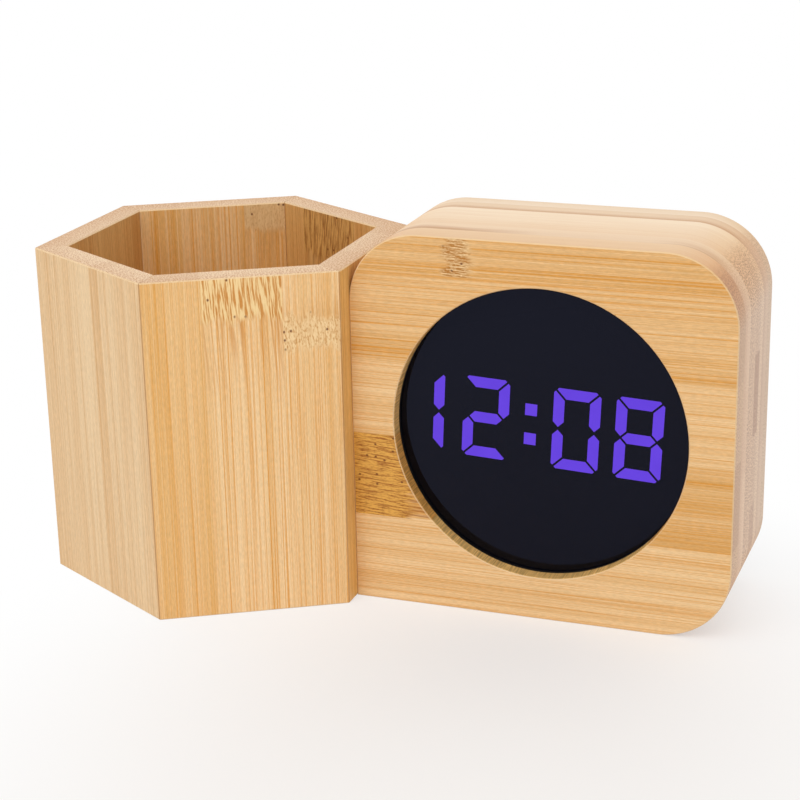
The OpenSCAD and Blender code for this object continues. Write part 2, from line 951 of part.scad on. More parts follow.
// Moulded cover: plate, battery bay, clamping posts, bosses and a ledge behind the door's top corners
module back_cover() {
    ledge = [5, 1.2];
    ledge_t = 1.5;
    color(black_abs)
        difference() {
            union() {
                difference() {
                    union() {
                        behind_window(cover_in, cover_t)
                            round_square(cover_w * [1, 1], cover_r);
                        behind_window(bay_front, cover_in - bay_front + cover_t / 2)
                            translate([0, -bay_drop])
                                square(bay_outer, center = true);
                        behind_window(display_back, cover_in - display_back + cover_t / 2)
                            for (p = post_places)
                                translate(p)
                                    circle(d = post_d);
                        behind_window(control_rear, cover_in - control_rear + cover_t / 2)
                            for (p = boss_places)
                                translate(p)
                                    circle(d = boss_d);
                    }
                    cover_openings();
                }
                behind_window(cover_out - door_t - flange_gap - ledge_t, ledge_t)
                    for (x = [-1, 1])
                        translate([x * (bay_l - ledge[0]) / 2, bay_top - ledge[1] / 2])
                            square(ledge, center = true);
            }
            behind_window(control_rear - cut, board_screw_l)
                for (p = boss_places)
                    translate(p)
                        circle(d = board_screw_d + 2 * screw_fit);
        }
}

// Countersunk wood screws with a cross slot
module cover_screws() {
    r = screw_d / 2;
    head_r = screw_head_d / 2;
    slot = [screw_d * 1.1, 0.5, 1.4];
    color(steel)
        for (p = screw_places)
            facing_front(p, cover_out)
                difference() {
                    rotate_extrude()
                        polygon([
                            [0, 0], [head_r - screw_fit, 0], [r, head_r - r - screw_fit],
                            [r, screw_l - 2 * r], [0, screw_l]
                        ]);
                    for (a = [0, 90])
                        rotate(a)
                            cube(slot, center = true);
                }
}

// Three cells side by side, turned end for end in the middle row
module battery_cells() {
    r = cell_d / 2;
    tip_r = 1.9;
    tip_h = 1;
    rim = 0.5;
    color(cell_wrap)
        for (row = cell_rows)
            along_width(row[0] * (bay_l / 2 - contact_t - dimple_h), cell_depth, row[1])
                mirror([0, 0, row[0] > 0 ? 1 : 0])
                    rotate_extrude()
                        polygon([
                            [0, 0], [tip_r, 0], [tip_r, tip_h], [r - rim, tip_h], [r, tip_h + rim],
                            [r, cell_l - rim], [r - rim, cell_l], [0, cell_l]
                        ]);
}

// Points of a tapering spring, from the plate to the cell
spring_turns = 4;
spring_steps = 10;
spring_sides = 6;
spring_wide = 3.6;
spring_narrow = 2.6;

function spring_point(i) =
    let (
        share = i / (spring_turns * spring_steps),
        r = spring_wide + (spring_narrow - spring_wide) * share,
        a = 360 * i / spring_steps,
        start = spring_wire / 2 + bar_fit
    )
    [r * cos(a), r * sin(a), start + (spring_l - 2 * start) * share];

function spring_ring(i) =
    let (a = 360 * i / spring_steps, p = spring_point(i))
    [
        for (s = [0:spring_sides - 1])
            let (b = 360 * s / spring_sides, r = spring_wire / 2)
            p + r * [cos(b) * cos(a), cos(b) * sin(a), sin(b)]
    ];

module spring() {
    rings = spring_turns * spring_steps + 1;
    points = [for (i = [0:rings - 1]) each spring_ring(i)];
    sides = [
        for (i = [0:rings - 2], s = [0:spring_sides - 1])
            let (
                a = i * spring_sides + s,
                b = i * spring_sides + (s + 1) % spring_sides
            )
            each [[a, b, b + spring_sides], [a, b + spring_sides, a + spring_sides]]
    ];
    last = (rings - 1) * spring_sides;
    ends = [
        for (s = [1:spring_sides - 2])
            each [[0, s + 1, s], [last, last + s, last + s + 1]]
    ];
    polyhedron(points, concat(sides, ends));
}

// Spring at the flat end of each cell
module battery_springs() {
    color(nickel)
        for (row = cell_rows)
            along_width(-row[0] * (bay_l / 2 - contact_t), cell_depth, row[1])
                mirror([0, 0, row[0] > 0 ? 0 : 1])
                    spring();
}

// Plates at both ends of each cell, with a dimple where the tip touches
module battery_contacts() {
    plate = cell_d - 2 * part_gap;
    dimple_d = 4;
    color(nickel)
        for (row = cell_rows)
            for (end = [-1, 1])
                along_width(end * bay_l / 2, cell_depth, row[1])
                    mirror([0, 0, end > 0 ? 1 : 0]) {
                        translate([0, 0, contact_t / 2])
                            cube([plate, plate, contact_t], center = true);
                        if (end == row[0])
                            cylinder(h = contact_t + dimple_h, d = dimple_d);
                    }
}

// Door with a rounded hinge edge and pins below, and a springy tongue with grip ribs on top
module battery_door() {
    rib_h = 0.5;
    rib_first = 2;
    rib_pitch = 1.5;
    rib_inset = 1.5;
    color(black_abs)
        difference() {
            union() {
                translate([case_x + middle[0] - door_l / 2, case_y + door_axis[0], middle[1] + door_axis[1]])
                    rotate([90, 0, 90])
                        linear_extrude(door_l) {
                            circle(d = door_t);
                            translate([-door_t / 2, 0])
                                square([door_t, door_h]);
                        }
                along_width(-bay_l / 2 - pin_reach, door_axis[0], door_axis[1])
                    cylinder(h = bay_l + 2 * pin_reach, d = pin_d);
                behind_window(cover_out - door_t / 2, door_t / 2 + rib_h)
                    for (i = [0:3])
                        translate([0, bay_top - door_gap - rib_first - i * rib_pitch])
                            square([tongue_w - 2 * rib_inset, rib_h], center = true);
            }
            behind_window(cover_out - door_t - cut, door_t + 2 * cut)
                for (x = [-1, 1])
                    translate([x * (tongue_w + tongue_slit) / 2, bay_top - tongue_l / 2])
                        square([tongue_slit, tongue_l], center = true);
        }
}

// Key with a flange that keeps it in the cover and a stem that meets the switch's plunger
module key(x) {
    color(black_abs) {
        behind_window(flange_in, flange_t)
            translate([x, key_rise])
                circle(d = key_d + 2 * flange_lap);
        behind_window(flange_in, cover_out + key_proud - ease - flange_in)
            translate([x, key_rise])
                circle(d = key_d);
        facing_front([x, key_rise], cover_out + key_proud)
            cylinder(h = ease, d1 = key_d - 2 * ease, d2 = key_d);
        behind_window(plunger_top, stem_l + flange_t / 2)
            translate([x, key_rise])
                circle(d = stem_d);
    }
}

module set_key() {
    key(key_x[0]);
}

module up_key() {
    key(key_x[1]);
}

module down_key() {
    key(key_x[2]);
}

// Plunger that a key pushes into its switch
module plunger(x) {
    color(steel)
        behind_window(switch_top - plunger_hold, plunger_hold + plunger_proud)
            translate([x, key_rise])
                circle(d = plunger_d);
}

module set_plunger() {
    plunger(key_x[0]);
}

module up_plunger() {
    plunger(key_x[1]);
}

module down_plunger() {
    plunger(key_x[2]);
}

stave_front_left();
stave_front_right();
stave_right();
stave_rear_right();
stave_rear_left();
stave_left();
cup_floor();
joining_dowels();
face_board();
front_ply();
core_board();
rear_ply();
rear_board();
display_lens();
digit_mask();
lit_strokes();
unlit_strokes();
stroke_leds();
display_board();
control_board();
control_chip();
crystal();
coin_cell();
coin_cell_holder();
buzzer();
charging_socket();
key_switches();
ribbon_plugs();
board_ribbon();
board_screws();
back_cover();
cover_screws();
battery_cells();
battery_springs();
battery_contacts();
battery_door();
set_key();
up_key();
down_key();
set_plunger();
up_plunger();
down_plunger();
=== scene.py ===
import math

import bpy
from mathutils import Matrix, Vector


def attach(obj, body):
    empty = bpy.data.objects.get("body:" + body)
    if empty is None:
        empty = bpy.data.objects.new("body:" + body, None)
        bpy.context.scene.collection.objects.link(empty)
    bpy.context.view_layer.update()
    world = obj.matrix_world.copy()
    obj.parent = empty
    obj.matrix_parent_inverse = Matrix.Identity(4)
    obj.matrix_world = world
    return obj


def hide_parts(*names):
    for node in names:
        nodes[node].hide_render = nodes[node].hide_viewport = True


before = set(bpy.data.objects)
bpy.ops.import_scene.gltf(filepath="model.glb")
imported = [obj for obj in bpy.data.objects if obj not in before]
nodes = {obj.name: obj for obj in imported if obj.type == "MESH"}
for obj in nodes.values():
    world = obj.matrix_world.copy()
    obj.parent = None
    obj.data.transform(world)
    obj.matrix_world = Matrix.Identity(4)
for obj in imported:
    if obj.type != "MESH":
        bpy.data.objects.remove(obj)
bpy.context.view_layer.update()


# Pen cup: six bamboo boards, mitred at their sides and glued into a hexagon, with the grain upright.
# Each board is pressed from split strips laid side by side, planed, sanded and wiped with a matt
# lacquer, so strips of different tone show, and here and there a knuckle of the cane.
def linear(colour):
    """Turns an sRGB hex colour into the linear colour that a shader takes."""
    parts = [int(colour[i:i + 2], 16) / 255 for i in (1, 3, 5)]
    return tuple(((c + 0.055) / 1.055) ** 2.4 if c > 0.04045 else c / 12.92 for c in parts) + (1.0,)


def feed(tree, node, links):
    """Gives a node's sockets a value or an output; a node stands for its first output in use."""
    for key, value in links.items():
        if isinstance(value, bpy.types.Node):
            value = next(output for output in value.outputs if output.enabled)
        if isinstance(value, bpy.types.NodeSocket):
            tree.links.new(value, node.inputs[key])
        else:
            node.inputs[key].default_value = value


# Sockets go by their name, or by their place where it is short. A colour mix takes its share at 0 and
# its colours at 6 and 7. A map range takes a value at 0, its span at 1 and 2 and the new one at 3 and 4.
def add(tree, kind, links=None, **settings):
    """Adds a node with its settings and feeds its sockets."""
    made = tree.nodes.new(kind)
    for name, value in settings.items():
        setattr(made, name, value)
    feed(tree, made, links or {})
    return made


def new_group(name, inputs, outputs):
    """Starts a node group with the named sockets and returns it with its two end nodes."""
    tree = bpy.data.node_groups.new(name, "ShaderNodeTree")
    for side, sockets in (("INPUT", inputs), ("OUTPUT", outputs)):
        for label, kind in sockets.items():
            tree.interface.new_socket(label, in_out=side, socket_type="NodeSocket" + kind)
    return tree, tree.nodes.new("NodeGroupInput"), tree.nodes.new("NodeGroupOutput")


def new_finish(name, **sockets):
    """Starts a material and sets its shader's own sockets, named with _ for each space."""
    material = bpy.data.materials.new(name)
    material.use_nodes = True
    shader = material.node_tree.nodes["Principled BSDF"]
    feed(material.node_tree, shader, {key.replace("_", " "): value for key, value in sockets.items()})
    return material, material.node_tree, shader


def dress(material, *names):
    """Gives the named pieces their material."""
    for name in names:
        nodes[name].material_slots[0].material = material


# Grain, in mm along, across and into the board. Bundles of fibre 0.3 to 0.6 mm wide run nearly the
# whole length as orange lines in paler pith. Strip holds each strip's tone, and how many of its lines
# are long and bold or short and fine. A kind of mark has its size, the span of noise that draws it,
# and what that span becomes. Each strip takes its marks from another place, STRIP_SHIFT away at most.
# Noise swings round its middle, and seldom leaves the span from its low to its high.
NOISE_LOW, NOISE_MIDDLE, NOISE_HIGH = 0.3, 0.5, 0.7
GRAIN = {
    "long": ((300, 0.38, 0.38), (0.5, 0.68, 0, 1)),
    "short": ((60, 0.26, 0.26), (0.5, 0.66, 0, 1)),
    "pith": ((150, 0.36, 0.36), (0.5, 0.7, 0, 1)),
    "broad": ((220, 4, 4), (NOISE_LOW, NOISE_HIGH, -0.5, 0.5)),
    "grit": ((1.6, 0.24, 0.24), (NOISE_LOW, NOISE_HIGH, -0.5, 0.5)),
}
STRIP_SHIFT = (400, 0, 90)
BROAD_SHARE = 0.45
PITH_SHARE = 0.6
GRIT_SHARE = 0.15
LINE_HEIGHT = -0.6
grain, g_in, g_out = new_group(
    "bamboo_grain",
    {"Place": "Vector", "Strip": "Color", "Pale": "Color", "Warm": "Color", "Streak": "Color"},
    {"Color": "Color", "Height": "Float"},
)
strip = add(grain, "ShaderNodeSeparateColor", {0: g_in.outputs["Strip"]})
strip_tone, strip_long, strip_short = strip.outputs
strip_chance = add(grain, "ShaderNodeTexWhiteNoise", {"Vector": g_in.outputs["Strip"]})
strip_place = add(
    grain, "ShaderNodeVectorMath",
    {0: strip_chance.outputs["Color"], 1: STRIP_SHIFT, 2: g_in.outputs["Place"]}, operation="MULTIPLY_ADD",
)
part = {}
for name, (size, (low, high, to_low, to_high)) in GRAIN.items():
    place = add(grain, "ShaderNodeVectorMath", {0: strip_place, 1: size}, operation="DIVIDE")
    noise = add(grain, "ShaderNodeTexNoise", {"Vector": place, "Scale": 1, "Detail": 2})
    part[name] = add(
        grain, "ShaderNodeMapRange", {0: noise, 1: low, 2: high, 3: to_low, 4: to_high},
        interpolation_type="SMOOTHSTEP",
    )
tone = add(
    grain, "ShaderNodeMath", {0: part["broad"], 1: BROAD_SHARE, 2: strip_tone},
    operation="MULTIPLY_ADD", use_clamp=True,
)
colour = add(
    grain, "ShaderNodeMix", {0: tone, 6: g_in.outputs["Pale"], 7: g_in.outputs["Warm"]}, data_type="RGBA"
)
for name, share in (("long", strip_long), ("short", strip_short)):
    amount = add(grain, "ShaderNodeMath", {0: part[name], 1: share}, operation="MULTIPLY")
    colour = add(grain, "ShaderNodeMix", {0: amount, 6: colour, 7: g_in.outputs["Streak"]}, data_type="RGBA")
amount = add(grain, "ShaderNodeMath", {0: part["pith"], 1: PITH_SHARE}, operation="MULTIPLY")
colour = add(grain, "ShaderNodeMix", {0: amount, 6: colour, 7: g_in.outputs["Pale"]}, data_type="RGBA")
gritty = add(grain, "ShaderNodeMath", {0: part["grit"], 1: GRIT_SHARE, 2: 1.0}, operation="MULTIPLY_ADD")
colour = add(grain, "ShaderNodeHueSaturation", {"Value": gritty, "Color": colour})
height = add(
    grain, "ShaderNodeMath", {0: part["long"], 1: LINE_HEIGHT, 2: part["grit"]}, operation="MULTIPLY_ADD"
)
feed(grain, g_out, {"Color": colour, "Height": height})

# Knuckle: where the cane had a joint, its bundles wander and are cut short, so the planed strip shows
# brown dashes a few mm long or specks under 1 mm in pale pith, a few open pores, and bold streaks that
# die out along the strip. A kind of mark has its size in mm and the span of noise that draws it.
KNUCKLE_MARKS = {
    "dash": ((5.6, 0.4, 0.4), 0.44, 0.6),
    "speck": ((0.9, 0.4, 0.4), 0.46, 0.66),
    "trail": ((34, 0.6, 0.6), 0.47, 0.64),
}
KNUCKLE_SOCKETS = ("Centre", "Reach", "Low", "High", "Speckle", "Depth", "Fade")
WANDER, WANDER_SIZE = 9.0, (8.333, 1.818, 1.818)
SOFT_RIM = 2.0
LEAN = 0.06
PORE_SPACING = (2.381, 2, 2)
PORE_RARITY = 0.88
PORE_RIM, PORE_CORE, PORE_SHARE = 0.2, 0.07, 0.95
PORE_TONE = "#6B3408"
knuckle, k_in, k_out = new_group(
    "bamboo_knuckle",
    {
        "Color": "Color", "Place": "Vector", **{name: "Float" for name in KNUCKLE_SOCKETS},
        "Cream": "Color", "Brown": "Color",
    },
    {"Color": "Color"},
)
run, width, _ = add(knuckle, "ShaderNodeSeparateXYZ", {0: k_in.outputs["Place"]}).outputs
ragged = add(knuckle, "ShaderNodeVectorMath", {0: k_in.outputs["Place"], 1: WANDER_SIZE}, operation="DIVIDE")
ragged = add(knuckle, "ShaderNodeTexNoise", {"Vector": ragged, "Scale": 1, "Detail": 3})
offset = add(knuckle, "ShaderNodeMath", {0: run, 1: k_in.outputs["Centre"]}, operation="SUBTRACT")
swing = add(knuckle, "ShaderNodeMath", {0: ragged, 1: NOISE_MIDDLE}, operation="SUBTRACT")
wandered = add(knuckle, "ShaderNodeMath", {0: swing, 1: WANDER, 2: offset}, operation="MULTIPLY_ADD")
away = add(knuckle, "ShaderNodeMath", {0: wandered}, operation="ABSOLUTE")
inner = add(knuckle, "ShaderNodeMath", {0: k_in.outputs["Reach"], 1: SOFT_RIM}, operation="SUBTRACT")
near = add(knuckle, "ShaderNodeMapRange", {0: away, 1: k_in.outputs["Reach"], 2: inner, 3: 0, 4: 1})
above = add(knuckle, "ShaderNodeMath", {0: width, 1: k_in.outputs["Low"]}, operation="GREATER_THAN")
below = add(knuckle, "ShaderNodeMath", {0: width, 1: k_in.outputs["High"]}, operation="LESS_THAN")
in_strip = add(knuckle, "ShaderNodeMath", {0: above, 1: below}, operation="MULTIPLY")
mask = add(knuckle, "ShaderNodeMath", {0: near, 1: in_strip}, operation="MULTIPLY")
lean = add(knuckle, "ShaderNodeMath", {0: wandered, 1: LEAN}, operation="MULTIPLY")
lean = add(knuckle, "ShaderNodeCombineXYZ", {1: lean})
leaning = add(knuckle, "ShaderNodeVectorMath", {0: k_in.outputs["Place"], 1: lean}, operation="ADD")
mark = {}
for name, (size, low, high) in KNUCKLE_MARKS.items():
    place = add(knuckle, "ShaderNodeVectorMath", {0: leaning, 1: size}, operation="DIVIDE")
    noise = add(knuckle, "ShaderNodeTexNoise", {"Vector": place, "Scale": 1, "Detail": 2.5})
    mark[name] = add(
        knuckle, "ShaderNodeMapRange", {0: noise, 1: low, 2: high, 3: 0, 4: 1},
        interpolation_type="SMOOTHSTEP",
    )
fade_run = add(knuckle, "ShaderNodeMapRange", {0: offset, 1: 0, 2: k_in.outputs["Fade"], 3: 1, 4: 0})
fade_side = add(knuckle, "ShaderNodeMath", {0: offset, 1: k_in.outputs["Fade"]}, operation="MULTIPLY")
trail = add(knuckle, "ShaderNodeMath", {0: fade_side, 1: 0.0}, operation="GREATER_THAN")
for share in (fade_run, in_strip, mark["trail"], k_in.outputs["Depth"]):
    trail = add(knuckle, "ShaderNodeMath", {0: trail, 1: share}, operation="MULTIPLY")
marks = add(knuckle, "ShaderNodeMix", {0: k_in.outputs["Speckle"], 2: mark["dash"], 3: mark["speck"]})
marked = add(knuckle, "ShaderNodeMath", {0: marks, 1: k_in.outputs["Depth"]}, operation="MULTIPLY")
joint = add(
    knuckle, "ShaderNodeMix", {0: marked, 6: k_in.outputs["Cream"], 7: k_in.outputs["Brown"]},
    data_type="RGBA",
)
pores = add(knuckle, "ShaderNodeVectorMath", {0: k_in.outputs["Place"], 1: PORE_SPACING}, operation="DIVIDE")
pores = add(knuckle, "ShaderNodeTexVoronoi", {"Vector": pores, "Scale": 1}, voronoi_dimensions="2D")
pore_chance = add(knuckle, "ShaderNodeSeparateColor", {0: pores.outputs["Color"]})
pore_here = add(knuckle, "ShaderNodeMath", {0: pore_chance, 1: PORE_RARITY}, operation="GREATER_THAN")
pore_round = add(
    knuckle, "ShaderNodeMapRange",
    {0: pores.outputs["Distance"], 1: PORE_RIM, 2: PORE_CORE, 3: 0, 4: PORE_SHARE},
)
pore = add(knuckle, "ShaderNodeMath", {0: pore_here, 1: pore_round}, operation="MULTIPLY")
joint = add(knuckle, "ShaderNodeMix", {0: pore, 6: joint, 7: linear(PORE_TONE)}, data_type="RGBA")
trailed = add(
    knuckle, "ShaderNodeMix", {0: trail, 6: k_in.outputs["Color"], 7: k_in.outputs["Brown"]},
    data_type="RGBA",
)
knuckled = add(knuckle, "ShaderNodeMix", {0: mask, 6: trailed, 7: joint}, data_type="RGBA")
feed(knuckle, k_out, {"Color": knuckled})

# Edges: a side that runs with the grain shows the strip from skin to pith as fine lines and a soft
# change of tone. A side cut across it shows the ends of the bundles as dots, close at the skin and
# sparse in the pith. They are about 0.4 mm apart, and drawn at 0.62 mm so that they show. A round
# corner cuts them at a slant, which draws them out and warms the tone. An eased arris is paler,
# partly for its sanded wood and partly as a painted highlight of the light it catches. The wall of a
# routed bore is browned, with black glue from the lens at its foot.
# Planed is how much of the skin's tone was planed off round PLANED_MIDDLE along the board. Dark Reach
# is how far from DARK_MIDDLE of the depth dark strips show at a cut end, and at 1 that is all of it.
FACING_FROM, FACING_TO = 0.5, 0.85
EDGE_LINES = (((83.33, 33.33, 0.6667), 1.1), ((50, 50, 3.333), 0.8), ((33.33, 16.67, 0.2941), 1.2))
PLANED_MIDDLE, PLANED_INNER, PLANED_OUTER = 55.0, 14.0, 36.0
BUNDLE_PITCH, BUNDLE_SCATTER, BUNDLE_THINNING = 0.62, 0.85, 0.14
DOT_RIM, DOT_CORE, DOT_SHARE = 0.5, 0.24, 0.95
DARK_MIDDLE, DARK_SHARE = 0.62, 0.6
SIDE_IN_END = 0.4
SLANT_PEAK, ARRIS_PEAK = 2.6, 2.4
# Pale tone of an eased arris: partly sanded wood, partly a painted highlight of the light the edge catches.
ARRIS_HIGHLIGHT = "#EFD2A4"
BORE_LINES, BORE_DARKEST, BORE_LIGHTEST = (0.3125, 0.3125, 8.333), 0.6, 1.32
BORE_PALE, BORE_WARM = "#E7BD76", "#C98A39"
BEAD_START, BEAD_TONE = -3.9, "#0A0A0B"
edges, e_in, e_out = new_group(
    "bamboo_edges",
    {
        "Color": "Color", "Strip": "Color", "Place": "Vector", "Facing": "Vector",
        "Front": "Float", "Back": "Float", "Planed": "Float", "Dark Reach": "Float",
        "Skin": "Color", "Pith": "Color", "Cut End": "Color", "Bundle": "Color", "Slanted": "Color",
        "Side Arris Glue And Highlight": "Color", "Bore Centre": "Vector", "Bore Radius": "Float",
    },
    {"Color": "Color"},
)
faces = add(edges, "ShaderNodeVectorMath", {0: e_in.outputs["Facing"]}, operation="ABSOLUTE")
end_way, side_way, face_way = add(edges, "ShaderNodeSeparateXYZ", {0: faces}).outputs
is_end, is_side = [
    add(
        edges, "ShaderNodeMapRange", {0: way, 1: FACING_FROM, 2: FACING_TO, 3: 0, 4: 1},
        interpolation_type="SMOOTHSTEP",
    )
    for way in (end_way, side_way)
]
run, width, thickness = add(edges, "ShaderNodeSeparateXYZ", {0: e_in.outputs["Place"]}).outputs
depth = add(
    edges, "ShaderNodeMapRange",
    {0: thickness, 1: e_in.outputs["Front"], 2: e_in.outputs["Back"], 3: 0, 4: 1},
)
toned = depth
for size, amount in EDGE_LINES:
    place = add(edges, "ShaderNodeVectorMath", {0: e_in.outputs["Place"], 1: size}, operation="DIVIDE")
    lines = add(edges, "ShaderNodeTexNoise", {"Vector": place, "Scale": 1, "Detail": 2})
    lines = add(edges, "ShaderNodeMath", {0: lines, 1: NOISE_MIDDLE}, operation="SUBTRACT")
    toned = add(edges, "ShaderNodeMath", {0: lines, 1: amount, 2: toned}, operation="MULTIPLY_ADD")
from_planed = add(edges, "ShaderNodeMath", {0: run, 1: PLANED_MIDDLE}, operation="SUBTRACT")
from_planed = add(edges, "ShaderNodeMath", {0: from_planed}, operation="ABSOLUTE")
planed = add(
    edges, "ShaderNodeMapRange",
    {0: from_planed, 1: PLANED_INNER, 2: PLANED_OUTER, 3: e_in.outputs["Planed"], 4: 0},
)
skin_left = add(
    edges, "ShaderNodeMix", {0: planed, 6: e_in.outputs["Skin"], 7: e_in.outputs["Pith"]}, data_type="RGBA"
)
side_colour = add(
    edges, "ShaderNodeMix", {0: toned, 6: skin_left, 7: e_in.outputs["Pith"]},
    data_type="RGBA", clamp_factor=True,
)
cut_place = add(edges, "ShaderNodeCombineXYZ", {0: width, 1: thickness})
bundles = add(
    edges, "ShaderNodeTexVoronoi",
    {"Vector": cut_place, "Scale": 1 / BUNDLE_PITCH, "Randomness": BUNDLE_SCATTER}, voronoi_dimensions="2D",
)
thinned = add(
    edges, "ShaderNodeMath", {0: depth, 1: BUNDLE_THINNING, 2: bundles.outputs["Distance"]},
    operation="MULTIPLY_ADD",
)
dotted = add(
    edges, "ShaderNodeMapRange", {0: thinned, 1: DOT_RIM, 2: DOT_CORE, 3: 0, 4: DOT_SHARE},
    interpolation_type="SMOOTHSTEP",
)
strip_tone = add(edges, "ShaderNodeSeparateColor", {0: e_in.outputs["Strip"]}).outputs[0]
dark_here = add(
    edges, "ShaderNodeMath", {0: depth, 1: DARK_MIDDLE, 2: e_in.outputs["Dark Reach"]}, operation="COMPARE"
)
dark_end = add(edges, "ShaderNodeMath", {0: strip_tone, 1: dark_here}, operation="MULTIPLY")
dark_end = add(edges, "ShaderNodeMath", {0: dark_end, 1: DARK_SHARE, 2: dotted}, operation="MULTIPLY_ADD")
end_tone = add(
    edges, "ShaderNodeMix", {0: SIDE_IN_END, 6: e_in.outputs["Cut End"], 7: side_colour}, data_type="RGBA"
)
end_colour = add(
    edges, "ShaderNodeMix", {0: dark_end, 6: end_tone, 7: e_in.outputs["Bundle"]},
    data_type="RGBA", clamp_factor=True,
)
edged = add(edges, "ShaderNodeMix", {0: is_side, 6: e_in.outputs["Color"], 7: side_colour}, data_type="RGBA")
edged = add(edges, "ShaderNodeMix", {0: is_end, 6: edged, 7: end_colour}, data_type="RGBA")
slant = add(edges, "ShaderNodeMath", {0: end_way, 1: side_way}, operation="MULTIPLY")
slant = add(edges, "ShaderNodeMath", {0: slant, 1: end_way}, operation="MULTIPLY")
slant = add(edges, "ShaderNodeMath", {0: slant, 1: SLANT_PEAK}, operation="MULTIPLY", use_clamp=True)
edged = add(
    edges, "ShaderNodeMix", {0: slant, 6: edged, 7: e_in.outputs["Slanted"]},
    data_type="RGBA", blend_type="MULTIPLY",
)
# Each eased arris is blended to its tone. Along the ends it is the pale tone with its painted highlight.
# Along the sides it is the board's own: the painted highlight on the clock and the cup's floor, and the dark
# glue line at the cup's mitres.
for way, arris in ((end_way, linear(ARRIS_HIGHLIGHT)), (side_way, e_in.outputs["Side Arris Glue And Highlight"])):
    sloped = add(edges, "ShaderNodeMath", {0: way, 1: face_way}, operation="MULTIPLY")
    sloped = add(edges, "ShaderNodeMath", {0: sloped, 1: 2.0}, operation="POWER")
    sloped = add(edges, "ShaderNodeMath", {0: sloped, 1: ARRIS_PEAK}, operation="MULTIPLY", use_clamp=True)
    edged = add(edges, "ShaderNodeMix", {0: sloped, 6: edged, 7: arris}, data_type="RGBA")
from_bore = add(
    edges, "ShaderNodeVectorMath", {0: e_in.outputs["Place"], 1: e_in.outputs["Bore Centre"]},
    operation="SUBTRACT",
)
from_bore = add(edges, "ShaderNodeVectorMath", {0: from_bore, 1: (1, 1, 0)}, operation="MULTIPLY")
from_bore = add(edges, "ShaderNodeVectorMath", {0: from_bore}, operation="LENGTH")
in_bore = add(edges, "ShaderNodeMath", {0: from_bore, 1: e_in.outputs["Bore Radius"]}, operation="LESS_THAN")
routed = add(edges, "ShaderNodeVectorMath", {0: e_in.outputs["Place"], 1: BORE_LINES}, operation="DIVIDE")
routed = add(edges, "ShaderNodeTexNoise", {"Vector": routed, "Scale": 1, "Detail": 2})
routed = add(
    edges, "ShaderNodeMapRange", {0: routed, 1: NOISE_LOW, 2: NOISE_HIGH, 3: BORE_DARKEST, 4: BORE_LIGHTEST}
)
wall = add(
    edges, "ShaderNodeMix", {0: strip_tone, 6: linear(BORE_PALE), 7: linear(BORE_WARM)}, data_type="RGBA"
)
wall = add(edges, "ShaderNodeHueSaturation", {"Value": routed, "Color": wall})
in_bead = add(edges, "ShaderNodeMath", {0: thickness, 1: BEAD_START}, operation="LESS_THAN")
wall = add(edges, "ShaderNodeMix", {0: in_bead, 6: wall, 7: linear(BEAD_TONE)}, data_type="RGBA")
edged = add(edges, "ShaderNodeMix", {0: in_bore, 6: edged, 7: wall}, data_type="RGBA")
feed(edges, e_out, {"Color": edged})

# A board's places are in mm, and Object coordinates in metres. A strip is its start across the board,
# then its tone and its share of long and of short lines. A knuckle is its place along the board and
# its reach, its strip's two sides, how speckled and how dark it is, how far its streaks run, and its
# ground and marks. Sides are the depths of skin and pith, Planed, Dark Reach and five tones, and a bore
# is its centre and its radius.
MM = 1000
FIBRE_RELIEF = 0.1
NO_BORE = (0, 0, 0)


def bamboo_board(name, axes, middle, strips, knuckles, tones, sides, side_glue_and_highlight, bore=NO_BORE):
    """Lacquered bamboo of a board whose axes are its grain, its width and its thickness."""
    turned = Matrix(axes)
    turn = turned.to_euler("XYZ")
    material, tree, shader = new_finish(name, Roughness=0.5, Specular_IOR_Level=0.35)
    where = add(tree, "ShaderNodeTexCoord")
    spot = add(
        tree, "ShaderNodeMapping",
        {0: where.outputs["Object"], 1: -(turned @ Vector(middle)), 2: turn, 3: (MM, MM, MM)},
    )
    facing = add(tree, "ShaderNodeMapping", {0: where.outputs["Normal"], 2: turn}, vector_type="VECTOR")
    across = add(tree, "ShaderNodeSeparateXYZ", {0: spot}).outputs[1]
    low, high = strips[0][0], strips[-1][0]
    share = add(tree, "ShaderNodeMapRange", {0: across, 1: low, 2: high, 3: 0, 4: 1})
    ramp = add(tree, "ShaderNodeValToRGB", {0: share})
    ramp.color_ramp.interpolation = "CONSTANT"
    stops = ramp.color_ramp.elements
    stops.remove(stops[1])
    stops[0].color = (*strips[0][1:], 1.0)
    for start, *look in strips[1:-1]:
        stops.new((start - low) / (high - low)).color = (*look, 1.0)
    pale, warm, streak = [linear(c) for c in tones]
    wood = add(
        tree, "ShaderNodeGroup", {"Place": spot, "Strip": ramp, "Pale": pale, "Warm": warm, "Streak": streak},
        node_tree=grain,
    )
    shown = wood.outputs["Color"]
    for *sizes, cream, brown in knuckles:
        look = dict(zip(KNUCKLE_SOCKETS, sizes))
        shown = add(
            tree, "ShaderNodeGroup",
            {"Color": shown, "Place": spot, **look, "Cream": linear(cream), "Brown": linear(brown)},
            node_tree=knuckle,
        )
    front, back, planed, dark_reach, *side_tones = sides
    skin, pith, cut_end, bundle, slanted = [linear(c) for c in side_tones]
    shown = add(
        tree, "ShaderNodeGroup",
        {
            "Color": shown, "Strip": ramp, "Place": spot, "Facing": facing, "Front": front, "Back": back,
            "Planed": planed, "Dark Reach": dark_reach, "Skin": skin, "Pith": pith, "Cut End": cut_end,
            "Bundle": bundle, "Slanted": slanted, "Side Arris Glue And Highlight": linear(side_glue_and_highlight),
            "Bore Centre": (*bore[:2], 0), "Bore Radius": bore[2],
        },
        node_tree=edges,
    )
    bump = add(
        tree, "ShaderNodeBump",
        {"Height": wood.outputs["Height"], "Strength": 0.3, "Distance": FIBRE_RELIEF / MM},
    )
    feed(tree, shader, {"Base Color": shown, "Normal": bump})
    return material


